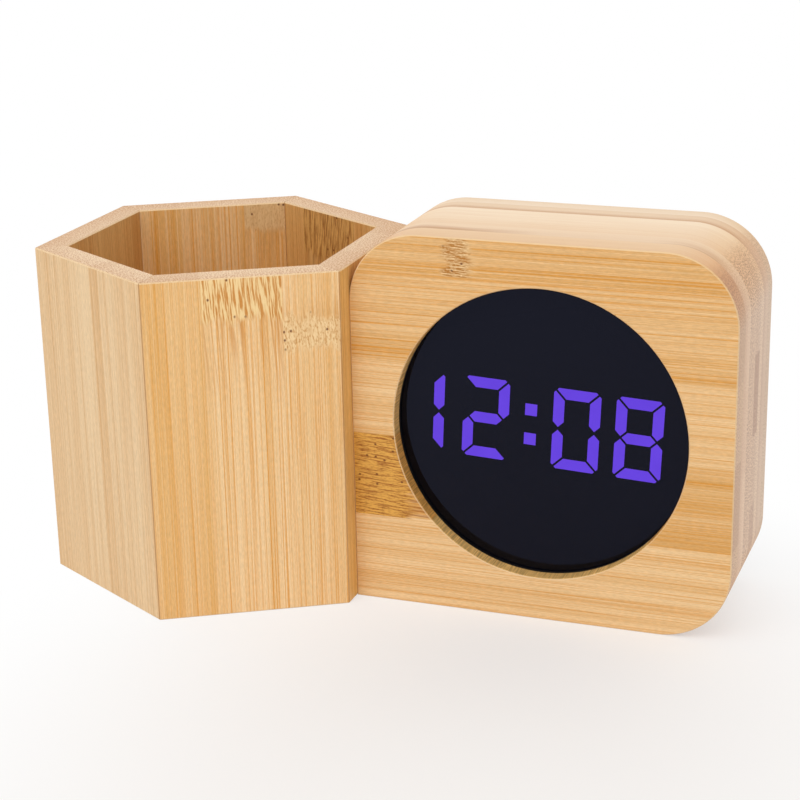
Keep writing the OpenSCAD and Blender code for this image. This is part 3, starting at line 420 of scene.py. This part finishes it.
# A board of the cup is the way it faces in degrees, its pale, warm and streak tones, its strips and
# its knuckles. Glue darkens the arris at each mitre.
CUP_AXIS = (-50.0, 0.0, 0.0)
NOT_PLANED, ALL_DEPTH = 0, 1
RIM_TONES = ("#E9C6A2", "#F3D8B6", "#F7DAB2", "#CB986A", "#FDEDD3")
STAVE_SIDES = (-43.5, -35.9, NOT_PLANED, ALL_DEPTH, *RIM_TONES)
MITRE = "#C28A4C"
CUP_TONES = ("#F5D3A2", "#E0A95A", "#DE911A")
PALE_TONES = ("#E8CA9F", "#D5A76F", "#C38B4A")
DEEP_TONES = ("#E4B876", "#CD9450", "#B6762E")
HIDDEN_TONES = ("#F4CC8C", "#E3AE5A", "#CC8C3C")
STAVES = {
    "stave_front_left": (
        240, PALE_TONES,
        [
            (-26, 0.32, 0.35, 0.4), (-14.5, 0.15, 0.3, 0.35), (1.6, 0.5, 0.45, 0.4), (5.8, 0.26, 0.4, 0.3),
            (26,),
        ],
        [],
    ),
    "stave_front_right": (
        300, CUP_TONES,
        [(-26, 0.6, 0.55, 0.38), (-9.9, 0.2, 0.85, 0.4), (10.3, 0.28, 0.4, 0.75), (26,)],
        [
            (86, 7, -9.9, 10.3, 0.08, 0.95, -30, "#F7D79C", "#CA822A"),
            (75.5, 5, 10.3, 26, 0.65, 0.85, 10, "#F6D5A0", "#C8883C"),
        ],
    ),
    "stave_right": (
        0, HIDDEN_TONES,
        [(-26, 0.6, 0.5, 0.5), (-6, 0.4, 0.6, 0.4), (14, 0.7, 0.4, 0.5), (26,)],
        [],
    ),
    "stave_rear_right": (
        60, DEEP_TONES,
        [(-26, 0.7, 0.5, 0.5), (-11, 0.6, 0.4, 0.5), (12, 0.5, 0.5, 0.4), (26,)],
        [(86, 9, -11, 12, 0.15, 0.9, -30, "#D6A35C", "#8E561D")],
    ),
    "stave_rear_left": (
        120, CUP_TONES,
        [(-26, 0.6, 0.5, 0.6), (-12, 0.5, 0.7, 0.4), (9, 0.7, 0.5, 0.5), (26,)],
        [(88, 5.5, -22, -9, 0.6, 0.55, -20, "#E8C48E", "#BA8240")],
    ),
    "stave_left": (
        180, DEEP_TONES,
        [(-26, 0.62, 0.5, 0.5), (-7, 0.5, 0.5, 0.5), (12, 0.62, 0.4, 0.4), (26,)],
        [],
    ),
}
for name, (angle, tones, strips, knuckles) in STAVES.items():
    a = math.radians(angle)
    out = Vector((math.cos(a), math.sin(a), 0))
    axes = ((0, 0, 1), (-out.y, out.x, 0), -out)
    board = bamboo_board(
        "bamboo_lacquered_" + name, axes, CUP_AXIS, strips, knuckles, tones, STAVE_SIDES, MITRE
    )
    dress(board, name)


# Floor of the cup: a hexagon sawn from thin bamboo sheet and glued inside the foot, so only its
# upper face shows, between the walls, and its lower face from underneath.
FLOOR_AXES = ((1, 0, 0), (0, 1, 0), (0, 0, 1))
FLOOR_SIDES = (0, 6, NOT_PLANED, ALL_DEPTH, *RIM_TONES)
FLOOR_STRIPS = [
    (-45, 0.6, 0.4, 0.5), (-22, 0.4, 0.5, 0.4), (0, 0.7, 0.4, 0.5), (21, 0.5, 0.5, 0.3), (45,),
]
floor = bamboo_board(
    "bamboo_sanded_cup_floor", FLOOR_AXES, CUP_AXIS, FLOOR_STRIPS, [], DEEP_TONES, FLOOR_SIDES, ARRIS_HIGHLIGHT
)
dress(floor, "cup_floor")


# Joining dowels: two turned beech pins, glued into blind holes in the cup and the clock, so that
# nothing of them shows once the joint is closed. Beech gives an even tan with short brown flecks.
def mottled(name, size, detail, tones, rough=None, **sockets):
    """A material whose tone, and roughness where given, drifts in patches of a size in mm."""
    material, tree, shader = new_finish(name, **sockets)
    where = add(tree, "ShaderNodeTexCoord")
    place = add(tree, "ShaderNodeMapping", {0: where.outputs["Object"], 3: [MM / s for s in size]})
    patches = add(tree, "ShaderNodeTexNoise", {"Vector": place, "Scale": 1, "Detail": detail})
    first, second = [linear(tone) for tone in tones]
    tint = add(tree, "ShaderNodeMix", {0: patches, 6: first, 7: second}, data_type="RGBA")
    feed(tree, shader, {"Base Color": tint})
    if rough:
        least, most = rough
        dull = add(
            tree, "ShaderNodeMapRange", {0: patches, 1: NOISE_LOW, 2: NOISE_HIGH, 3: least, 4: most}
        )
        feed(tree, shader, {"Roughness": dull})
    return material, tree, shader, patches


beech, *_ = mottled(
    "beech_turned", (2, 0.625, 0.625), 3, ("#E2BE93", "#C4935F"), Roughness=0.55, Specular_IOR_Level=0.3
)
dress(beech, "joining_dowels")


# Clock case: five bamboo boards glued face to face with the grain across, then cut to one outline
# with three round corners and sanded. The face shows broad strips, and the top and the sides show
# the boards as bands, pinkish where a strip's dense skin lies and cream where its pith does.
FACE_CORNER = (0.0, -19.5147, 0.0)
CASE_AXES = ((1, 0, 0), (0, 0, 1), (0, -1, 0))
FACE_TONES = ("#EEC996", "#D49F58", "#D48B1C")
FACE_STRIPS = [
    (0, 0.18, 0.55, 0.6), (23.7, 0.76, 0.5, 0.5), (46.3, 0.25, 0.52, 0.5), (67.3, 0.56, 0.7, 0.5),
    (90, 0.72, 0.75, 0.4), (101,),
]
FACE_KNUCKLES = [
    (-1, 11, 23.7, 46.3, 0.3, 0.9, 60, "#E1A84C", "#914D0C"),
    (22.5, 4.2, 90, 101, 0.4, 1, 6, "#B37529", "#F5D5A1"),
]
CORE_STRIPS = [
    (0, 0.2, 0.5, 0.4), (12, 0.6, 0.4, 0.5), (28, 0.2, 0.5, 0.4), (47, 1.0, 0.6, 0.5),
    (68.8, 0.2, 0.4, 0.4), (101,),
]
BACK_STRIPS = [
    (0, 0.5, 0.5, 0.4), (18, 0.3, 0.4, 0.5), (41, 0.6, 0.5, 0.4), (63, 0.4, 0.6, 0.5),
    (84, 0.5, 0.4, 0.4), (101,),
]
WINDOW = (43.5, 50.0, 38.6)
CASE_BOARDS = {
    "face_board": (
        FACE_STRIPS, FACE_KNUCKLES, WINDOW,
        (0, -8, NOT_PLANED, ALL_DEPTH, "#E8BF92", "#EECAA0", "#E2C3A7", "#BE967A", "#FAE1C6"),
    ),
    "front_ply": (
        BACK_STRIPS, [], NO_BORE,
        (-8, -13, 0.8, ALL_DEPTH, "#C9986C", "#F2D3B0", "#F8DDC3", "#D8B092", "#FFF6E6"),
    ),
    "core_board": (
        CORE_STRIPS, [], NO_BORE,
        (-14.5, -32, NOT_PLANED, 0.17, "#F0CEA8", "#FBE3C4", "#E9CAB0", "#B68E78", "#FBEAD0"),
    ),
    "rear_ply": (
        BACK_STRIPS, [], NO_BORE,
        (-32, -35.5, NOT_PLANED, ALL_DEPTH, "#D2A47A", "#EDCFAC", "#EED4BE", "#D0AE96", "#FDEDD8"),
    ),
    "rear_board": (
        BACK_STRIPS, [], NO_BORE,
        (-38, -43.5, NOT_PLANED, ALL_DEPTH, "#F4DBBE", "#EED2B0", "#ECD2BB", "#CEAE94", "#FFF3E0"),
    ),
}
for name, (strips, knuckles, bore, sides) in CASE_BOARDS.items():
    board = bamboo_board(
        "bamboo_lacquered_" + name, CASE_AXES, FACE_CORNER, strips, knuckles, FACE_TONES, sides, ARRIS_HIGHLIGHT, bore
    )
    dress(board, name)


# Lens: a disc of cast acrylic with a smoke-tinted film on its face, glued to the ledge behind the
# round window. The film lets an eighth of the light through, so it hides the mask, and its polish
# mirrors the pale table as a faint blue-grey, and the wall of the window as a black crescent.
FILM_BACK, FILM_SHARE = -0.0140, 0.875
HAZE_SIZE, HAZE_LEAST, HAZE_MOST = 11.1, 0.004, 0.012
lens, tree, shader = new_finish(
    "acrylic_smoked_polished", Base_Color=linear("#07070B"), IOR=1.49, Specular_IOR_Level=0.29,
    Specular_Tint=linear("#B9C0F2"),
)
where = add(tree, "ShaderNodeTexCoord")
inward = add(tree, "ShaderNodeSeparateXYZ", {0: where.outputs["Object"]}).outputs[1]
on_film = add(tree, "ShaderNodeMath", {0: inward, 1: FILM_BACK}, operation="LESS_THAN")
film = add(tree, "ShaderNodeMath", {0: on_film, 1: FILM_SHARE}, operation="MULTIPLY")
haze = add(
    tree, "ShaderNodeTexNoise", {"Vector": where.outputs["Object"], "Scale": MM / HAZE_SIZE, "Detail": 2}
)
haze = add(
    tree, "ShaderNodeMapRange", {0: haze, 1: NOISE_LOW, 2: NOISE_HIGH, 3: HAZE_LEAST, 4: HAZE_MOST}
)
feed(tree, shader, {"Alpha": film, "Roughness": haze})
dress(lens, "display_lens")


# Digit mask: a block moulded in black ABS with a light shaft for each stroke. Its face is spark
# eroded, so it is matt, and shows only as the dark ground of the readout.
mask_abs, *_ = mottled(
    "abs_black_matt", (0.4, 0.4, 0.4), 1, ("#08080A", "#101013"), Specular_IOR_Level=0.1, Roughness=0.8
)
dress(mask_abs, "digit_mask")


# Strokes: light bars moulded in frosted acrylic that sit in the mask's shafts. The ones in use glow
# an even violet from the light behind them, clouded a little at 4.5 mm, and the others stay smoke grey.
GLOW = 7.7
CLOUD_SIZE = 4.545
glow, tree, shader = new_finish(
    "acrylic_frosted_violet", Base_Color=linear("#20182F"), Roughness=0.6, Emission_Strength=GLOW
)
where = add(tree, "ShaderNodeTexCoord")
cloud = add(
    tree, "ShaderNodeTexNoise", {"Vector": where.outputs["Object"], "Scale": MM / CLOUD_SIZE, "Detail": 1}
)
violet = add(tree, "ShaderNodeMix", {0: cloud, 6: linear("#623CDB"), 7: linear("#6A43E7")}, data_type="RGBA")
feed(tree, shader, {"Emission Color": violet})
dress(glow, "lit_strokes")
dark_bar, *_ = mottled(
    "acrylic_frosted_smoke", (1.43, 1.43, 1.43), 1, ("#0D0D11", "#15151A"),
    Roughness=0.7, Specular_IOR_Level=0.1,
)
dress(dark_bar, "unlit_strokes")


# Lights behind the strokes: small packages cast in white epoxy, one for each stroke, soldered to the
# display board. The epoxy scatters the light, and unlit it is a milky ivory, clouded at about 1 mm.
package, *_ = mottled("epoxy_white_cast", (1.11, 1.11, 1.11), 2, ("#E9E4D2", "#F6F2E6"), Roughness=0.35)
dress(package, "stroke_leds")


# Circuit boards: glass laminate under green solder mask, the round one clamped behind the digits and
# the long one screwed to the cover. Copper tracks 0.5 mm wide show through the mask, a shade lighter.
TRACK_WIDTH, TRACK_PITCH, TRACK_RUN = 0.5, 2.54, 9
laminate, tree, shader = new_finish("glass_laminate_green_mask", Roughness=0.3)
where = add(tree, "ShaderNodeTexCoord")
flat = add(
    tree, "ShaderNodeMapping",
    {0: where.outputs["Object"], 2: (math.radians(-90), 0, 0), 3: (MM, MM, MM)},
)
tracks = add(
    tree, "ShaderNodeTexBrick",
    {
        "Vector": flat, "Color1": linear("#14482B"), "Color2": linear("#174F30"), "Mortar": linear("#2E7A4B"),
        "Scale": 1, "Mortar Size": TRACK_WIDTH / 2, "Mortar Smooth": 0.2,
        "Brick Width": TRACK_RUN, "Row Height": TRACK_PITCH,
    },
    offset=0.37, offset_frequency=3, squash=0.6, squash_frequency=2,
)
feed(tree, shader, {"Base Color": tracks})
dress(laminate, "display_board", "control_board")


# Black parts on the control board: the chip, the buzzer, the coin cell's holder and the switches with
# their plungers, moulded in filled epoxy and soldered on. The filler leaves a dull, speckled black.
filled, *_ = mottled(
    "epoxy_black_filled", (0.25, 0.25, 0.25), 2, ("#141416", "#2A2A2C"), (0.5, 0.75), Specular_IOR_Level=0.3
)
dress(
    filled, "control_chip", "buzzer", "coin_cell_holder", "key_switches",
    "set_plunger", "up_plunger", "down_plunger",
)


# Nickel plated pieces: the crystal's can, the coin cell, the charging socket's shell and the battery
# contacts, drawn from thin sheet and plated. Rolling leaves fine lines 0.1 mm apart, drawn at 0.4 mm.
nickel, *_ = mottled(
    "steel_nickel_plated", (16.67, 0.4, 0.4), 3, ("#B9B4A8", "#DAD6CB"), (0.22, 0.4), Metallic=1.0
)
dress(nickel, "crystal", "coin_cell", "charging_socket", "battery_contacts")


# Ribbon and plugs: a flat cable of PVC covered wires at 1.27 mm pitch, pressed into nylon plugs that
# push on to the two boards. The wires show as ridges, drawn at twice their pitch so that they show,
# and the nylon as a milky white.
RIDGE_PITCH, RIDGE = 2.54, 0.3
WAVES_PER_UNIT = 20 / math.tau
ribbon, tree, shader = new_finish("pvc_ribbed_grey", Roughness=0.45)
where = add(tree, "ShaderNodeTexCoord")
wires = add(
    tree, "ShaderNodeTexWave",
    {"Vector": where.outputs["Object"], "Scale": MM / RIDGE_PITCH / WAVES_PER_UNIT},
).outputs["Fac"]
wire_tone = add(
    tree, "ShaderNodeMix", {0: wires, 6: linear("#6E7074"), 7: linear("#A9ABAE")}, data_type="RGBA"
)
ridges = add(tree, "ShaderNodeBump", {"Height": wires, "Strength": 0.6, "Distance": RIDGE / MM})
feed(tree, shader, {"Base Color": wire_tone, "Normal": ridges})
dress(ribbon, "board_ribbon")
nylon, *_ = mottled(
    "nylon_natural_moulded", (2.5, 2.5, 2.5), 2, ("#E2DDCB", "#F0ECDF"), Roughness=0.45, Subsurface_Weight=0.2
)
dress(nylon, "ribbon_plugs")


# Screws: two that hold the control board and four countersunk ones that hold the cover, cold headed
# from steel wire and zinc plated. The plating is a soft bluish grey, clouded at about 1 mm.
zinc, *_ = mottled("steel_zinc_plated", (1, 1, 1), 3, ("#A3A8AD", "#D2D5D8"), (0.28, 0.48), Metallic=1.0)
dress(zinc, "board_screws", "cover_screws")


# Back cover, battery door and keys: moulded in black ABS, the cover screwed into the back board, the
# door on two pins and the keys loose in their holes. The mould's spark-eroded texture, about 0.2 mm,
# is drawn at 0.4 mm so that it shows, and scatters the light to an even dark grey.
PIT_DEPTH = 0.08
FLOW_SIZE, FLOW_LEAST, FLOW_MOST = 16.67, 0.46, 0.6
moulded, tree, shader, pits = mottled(
    "abs_black_spark_eroded", (0.4, 0.4, 0.4), 2, ("#131315", "#242427"), Specular_IOR_Level=0.4
)
where = add(tree, "ShaderNodeTexCoord")
flow = add(
    tree, "ShaderNodeTexNoise", {"Vector": where.outputs["Object"], "Scale": MM / FLOW_SIZE, "Detail": 2}
)
sheen = add(
    tree, "ShaderNodeMapRange", {0: flow, 1: NOISE_LOW, 2: NOISE_HIGH, 3: FLOW_LEAST, 4: FLOW_MOST}
)
pitted = add(tree, "ShaderNodeBump", {"Height": pits, "Strength": 0.5, "Distance": PIT_DEPTH / MM})
feed(tree, shader, {"Roughness": sheen, "Normal": pitted})
dress(moulded, "back_cover", "battery_door", "set_key", "up_key", "down_key")


# Cells: three small cylinders side by side, the middle one turned end for end. Each is a steel can in
# a shrunk grey sleeve with a copper-coloured band at its raised end, and bare at both ends.
ROW_MIDDLE, ROW_PITCH = 0.0385, 0.0108
CELL_MIDDLE = 0.0435
BAND_START, SLEEVE_END = 0.0135, 0.0245
SHRINK_SIZE = 3.333
sleeve, tree, shader = new_finish("pvc_shrunk_sleeve", Roughness=0.3)
where = add(tree, "ShaderNodeTexCoord")
along_cell, _, up_row = add(tree, "ShaderNodeSeparateXYZ", {0: where.outputs["Object"]}).outputs
from_row = add(tree, "ShaderNodeMath", {0: up_row, 1: ROW_MIDDLE}, operation="SUBTRACT")
from_row = add(tree, "ShaderNodeMath", {0: from_row}, operation="ABSOLUTE")
turned_row = add(tree, "ShaderNodeMath", {0: from_row, 1: ROW_PITCH / 2}, operation="LESS_THAN")
row_way = add(tree, "ShaderNodeMapRange", {0: turned_row, 1: 0, 2: 1, 3: 1, 4: -1})
from_middle = add(tree, "ShaderNodeMath", {0: along_cell, 1: CELL_MIDDLE}, operation="SUBTRACT")
to_tip = add(tree, "ShaderNodeMath", {0: from_middle, 1: row_way}, operation="MULTIPLY")
banded = add(tree, "ShaderNodeMath", {0: to_tip, 1: BAND_START}, operation="GREATER_THAN")
out_far = add(tree, "ShaderNodeMath", {0: from_middle}, operation="ABSOLUTE")
bare = add(tree, "ShaderNodeMath", {0: out_far, 1: SLEEVE_END}, operation="GREATER_THAN")
shrunk = add(
    tree, "ShaderNodeTexNoise", {"Vector": where.outputs["Object"], "Scale": MM / SHRINK_SIZE, "Detail": 2}
)
wrap = add(tree, "ShaderNodeMix", {0: shrunk, 6: linear("#3A3E43"), 7: linear("#4B5056")}, data_type="RGBA")
wrap = add(tree, "ShaderNodeMix", {0: banded, 6: wrap, 7: linear("#B9774A")}, data_type="RGBA")
wrap = add(tree, "ShaderNodeMix", {0: bare, 6: wrap, 7: linear("#C9C8C4")}, data_type="RGBA")
feed(tree, shader, {"Base Color": wrap, "Metallic": bare})
dress(sleeve, "battery_cells")


# Springs: three conical coils of plated wire that press the cells' flat ends, wound wide at the base
# and hooked on the bay's end walls. One coil is drawn by its rule and set on a point for each cell.
SPRING = {"Turns": 4.0, "Base Radius": 0.0033, "Tip Radius": 0.0023, "Length": 0.0068, "Wire Radius": 0.0003}
TURN_STEPS, WIRE_STEPS = 28, 12
SPRING_SEATS = (
    ((0.0176, 0.015735, 0.0277), 90), ((0.0694, 0.015735, 0.0385), -90), ((0.0176, 0.015735, 0.0493), 90),
)
coil = bpy.data.node_groups.new("wound_spring", "GeometryNodeTree")
coil.interface.new_socket("Geometry", in_out="OUTPUT", socket_type="NodeSocketGeometry")
coil.interface.new_socket("Geometry", in_out="INPUT", socket_type="NodeSocketGeometry")
coil_sockets = {
    name: coil.interface.new_socket(name, in_out="INPUT", socket_type="NodeSocketFloat").identifier
    for name in SPRING
}
c_in, c_out = coil.nodes.new("NodeGroupInput"), coil.nodes.new("NodeGroupOutput")
helix = add(
    coil, "GeometryNodeCurveSpiral",
    {
        "Resolution": TURN_STEPS, "Rotations": c_in.outputs["Turns"], "Height": c_in.outputs["Length"],
        "Start Radius": c_in.outputs["Base Radius"], "End Radius": c_in.outputs["Tip Radius"],
    },
)
wire = add(
    coil, "GeometryNodeCurvePrimitiveCircle",
    {"Resolution": WIRE_STEPS, "Radius": c_in.outputs["Wire Radius"]},
)
wound = add(coil, "GeometryNodeCurveToMesh", {"Curve": helix, "Profile Curve": wire, "Fill Caps": True})
facing = add(coil, "GeometryNodeInputNamedAttribute", {"Name": "facing"}, data_type="FLOAT_VECTOR")
way = add(coil, "FunctionNodeEulerToRotation", {0: facing})
seated = add(
    coil, "GeometryNodeInstanceOnPoints",
    {"Points": c_in.outputs["Geometry"], "Instance": wound, "Rotation": way},
)
joined = add(coil, "GeometryNodeRealizeInstances", {0: seated})
smooth = add(coil, "GeometryNodeSetShadeSmooth", {"Geometry": joined})
plated = add(coil, "GeometryNodeSetMaterial", {"Geometry": smooth, "Material": nickel})
feed(coil, c_out, {0: plated})
seat_mesh = bpy.data.meshes.new("spring_seats")
seat_mesh.from_pydata([seat for seat, _ in SPRING_SEATS], [], [])
seat_facing = seat_mesh.attributes.new("facing", "FLOAT_VECTOR", "POINT")
for entry, (_, turn) in zip(seat_facing.data, SPRING_SEATS):
    entry.vector = (0, math.radians(turn), 0)
seats = bpy.data.objects.new("spring_seats", seat_mesh)
bpy.context.scene.collection.objects.link(seats)
winding = seats.modifiers.new("wound_spring", "NODES")
winding.node_group = coil
for name, size in SPRING.items():
    winding[coil_sockets[name]] = size
wound_mesh = bpy.data.meshes.new_from_object(seats.evaluated_get(bpy.context.evaluated_depsgraph_get()))
bpy.data.objects.remove(seats)
springs = bpy.data.objects.new("wound_springs", wound_mesh)
bpy.context.scene.collection.objects.link(springs)
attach(springs, "clock_and_cup")
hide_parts("battery_springs")


# Table: a wide sheet of matt white paper that the object stands on. It keeps the object's soft shadow,
# and shows its own tone most in an oval in front of the clock, from where it runs out to white.
TABLE_REACH = 3.0
OVAL_SHIFT, OVAL_STRETCH = (-0.0686, 0.1127, 0), (1.309, 1, 1)
OVAL_INNER, OVAL_OUTER, OVAL_WHITE = 0.039, 0.208, 0.21


def seen_rays(tree):
    """Gives 1 where the eye meets a surface straight, in a mirror or through glass, and 0 for light."""
    path = add(tree, "ShaderNodeLightPath")
    seen = path.outputs["Is Camera Ray"]
    for ray in ("Is Glossy Ray", "Is Transmission Ray"):
        seen = add(tree, "ShaderNodeMath", {0: seen, 1: path.outputs[ray]}, operation="MAXIMUM")
    return seen


table_mesh = bpy.data.meshes.new("table")
table_mesh.from_pydata(
    [(x * TABLE_REACH, y * TABLE_REACH, 0) for x, y in ((-1, -1), (1, -1), (1, 1), (-1, 1))],
    [], [(0, 1, 2, 3)],
)
table = bpy.data.objects.new("table", table_mesh)
bpy.context.scene.collection.objects.link(table)
paper, tree, shader = new_finish(
    "paper_matt_white", Base_Color=linear("#F5F2EF"), Roughness=0.9, Specular_IOR_Level=0.0
)
where = add(tree, "ShaderNodeTexCoord")
oval = add(tree, "ShaderNodeMapping", {0: where.outputs["Object"], 1: OVAL_SHIFT, 3: OVAL_STRETCH})
oval = add(tree, "ShaderNodeVectorMath", {0: oval}, operation="LENGTH")
far = add(
    tree, "ShaderNodeMapRange", {0: oval, 1: OVAL_INNER, 2: OVAL_OUTER, 3: OVAL_WHITE, 4: 1.0},
    interpolation_type="SMOOTHSTEP",
)
white_share = add(tree, "ShaderNodeMath", {0: far, 1: seen_rays(tree)}, operation="MULTIPLY")
white = add(tree, "ShaderNodeEmission", {"Color": linear("#FFFFFF"), "Strength": 1.0})
sweep = add(tree, "ShaderNodeMixShader", {0: white_share, 1: shader, 2: white})
feed(tree, tree.nodes["Material Output"], {"Surface": sweep})
table_mesh.materials.append(paper)


# Light: an even white room, and one large square lamp with a soft box in front of the object, high on
# its left. The room is white to the eye and in mirrors, and lights the object a little less than that.
ROOM_LIGHT = 0.78
LAMP_PLACE, LAMP_AIM = Vector((-0.2, -1.0, 1.2)), Vector((0, 0, 0.05))
LAMP_SIZE, LAMP_POWER = 1.3, 8.0
world = bpy.data.worlds.new("white_room")
world.use_nodes = True
tree = world.node_tree
room = add(tree, "ShaderNodeMapRange", {0: seen_rays(tree), 1: 0, 2: 1, 3: ROOM_LIGHT, 4: 1})
feed(tree, tree.nodes["Background"], {"Color": linear("#FFFFFF"), "Strength": room})
bpy.context.scene.world = world
lamp_data = bpy.data.lights.new("soft_lamp", "AREA")
lamp_data.shape = "SQUARE"
lamp_data.size = LAMP_SIZE
lamp_data.energy = LAMP_POWER
lamp = bpy.data.objects.new("soft_lamp", lamp_data)
lamp.location = LAMP_PLACE
lamp.rotation_euler = (LAMP_AIM - LAMP_PLACE).to_track_quat("-Z", "Y").to_euler()
bpy.context.scene.collection.objects.link(lamp)


# Camera: in front of the object, to its right and above it, with the slight tilt of the photograph.
# Its place and its focal length were fitted to the object's outline there.
AZIMUTH, ELEVATION, ROLL = (math.radians(d) for d in (20.452, 18.638, -1.224))
TARGET, DISTANCE = Vector((-0.00046, 0.0, 0.04926)), 0.53868
FOCAL_LENGTH, SENSOR_WIDTH = 90.706, 36
back = Vector((
    math.sin(AZIMUTH) * math.cos(ELEVATION), -math.cos(AZIMUTH) * math.cos(ELEVATION), math.sin(ELEVATION)
))
right = Vector((math.cos(AZIMUTH), math.sin(AZIMUTH), 0))
up = back.cross(right)
right, up = right * math.cos(ROLL) + up * math.sin(ROLL), up * math.cos(ROLL) - right * math.sin(ROLL)
turned = Matrix((right, up, back)).transposed().to_4x4()
camera_data = bpy.data.cameras.new("camera")
camera_data.sensor_width = SENSOR_WIDTH
camera_data.lens = FOCAL_LENGTH
camera_data.clip_start = 0.01
camera = bpy.data.objects.new("camera", camera_data)
camera.matrix_world = Matrix.Translation(TARGET + back * DISTANCE) @ turned
bpy.context.scene.collection.objects.link(camera)
bpy.context.scene.camera = camera
bpy.context.scene.view_settings.view_transform = "Standard"
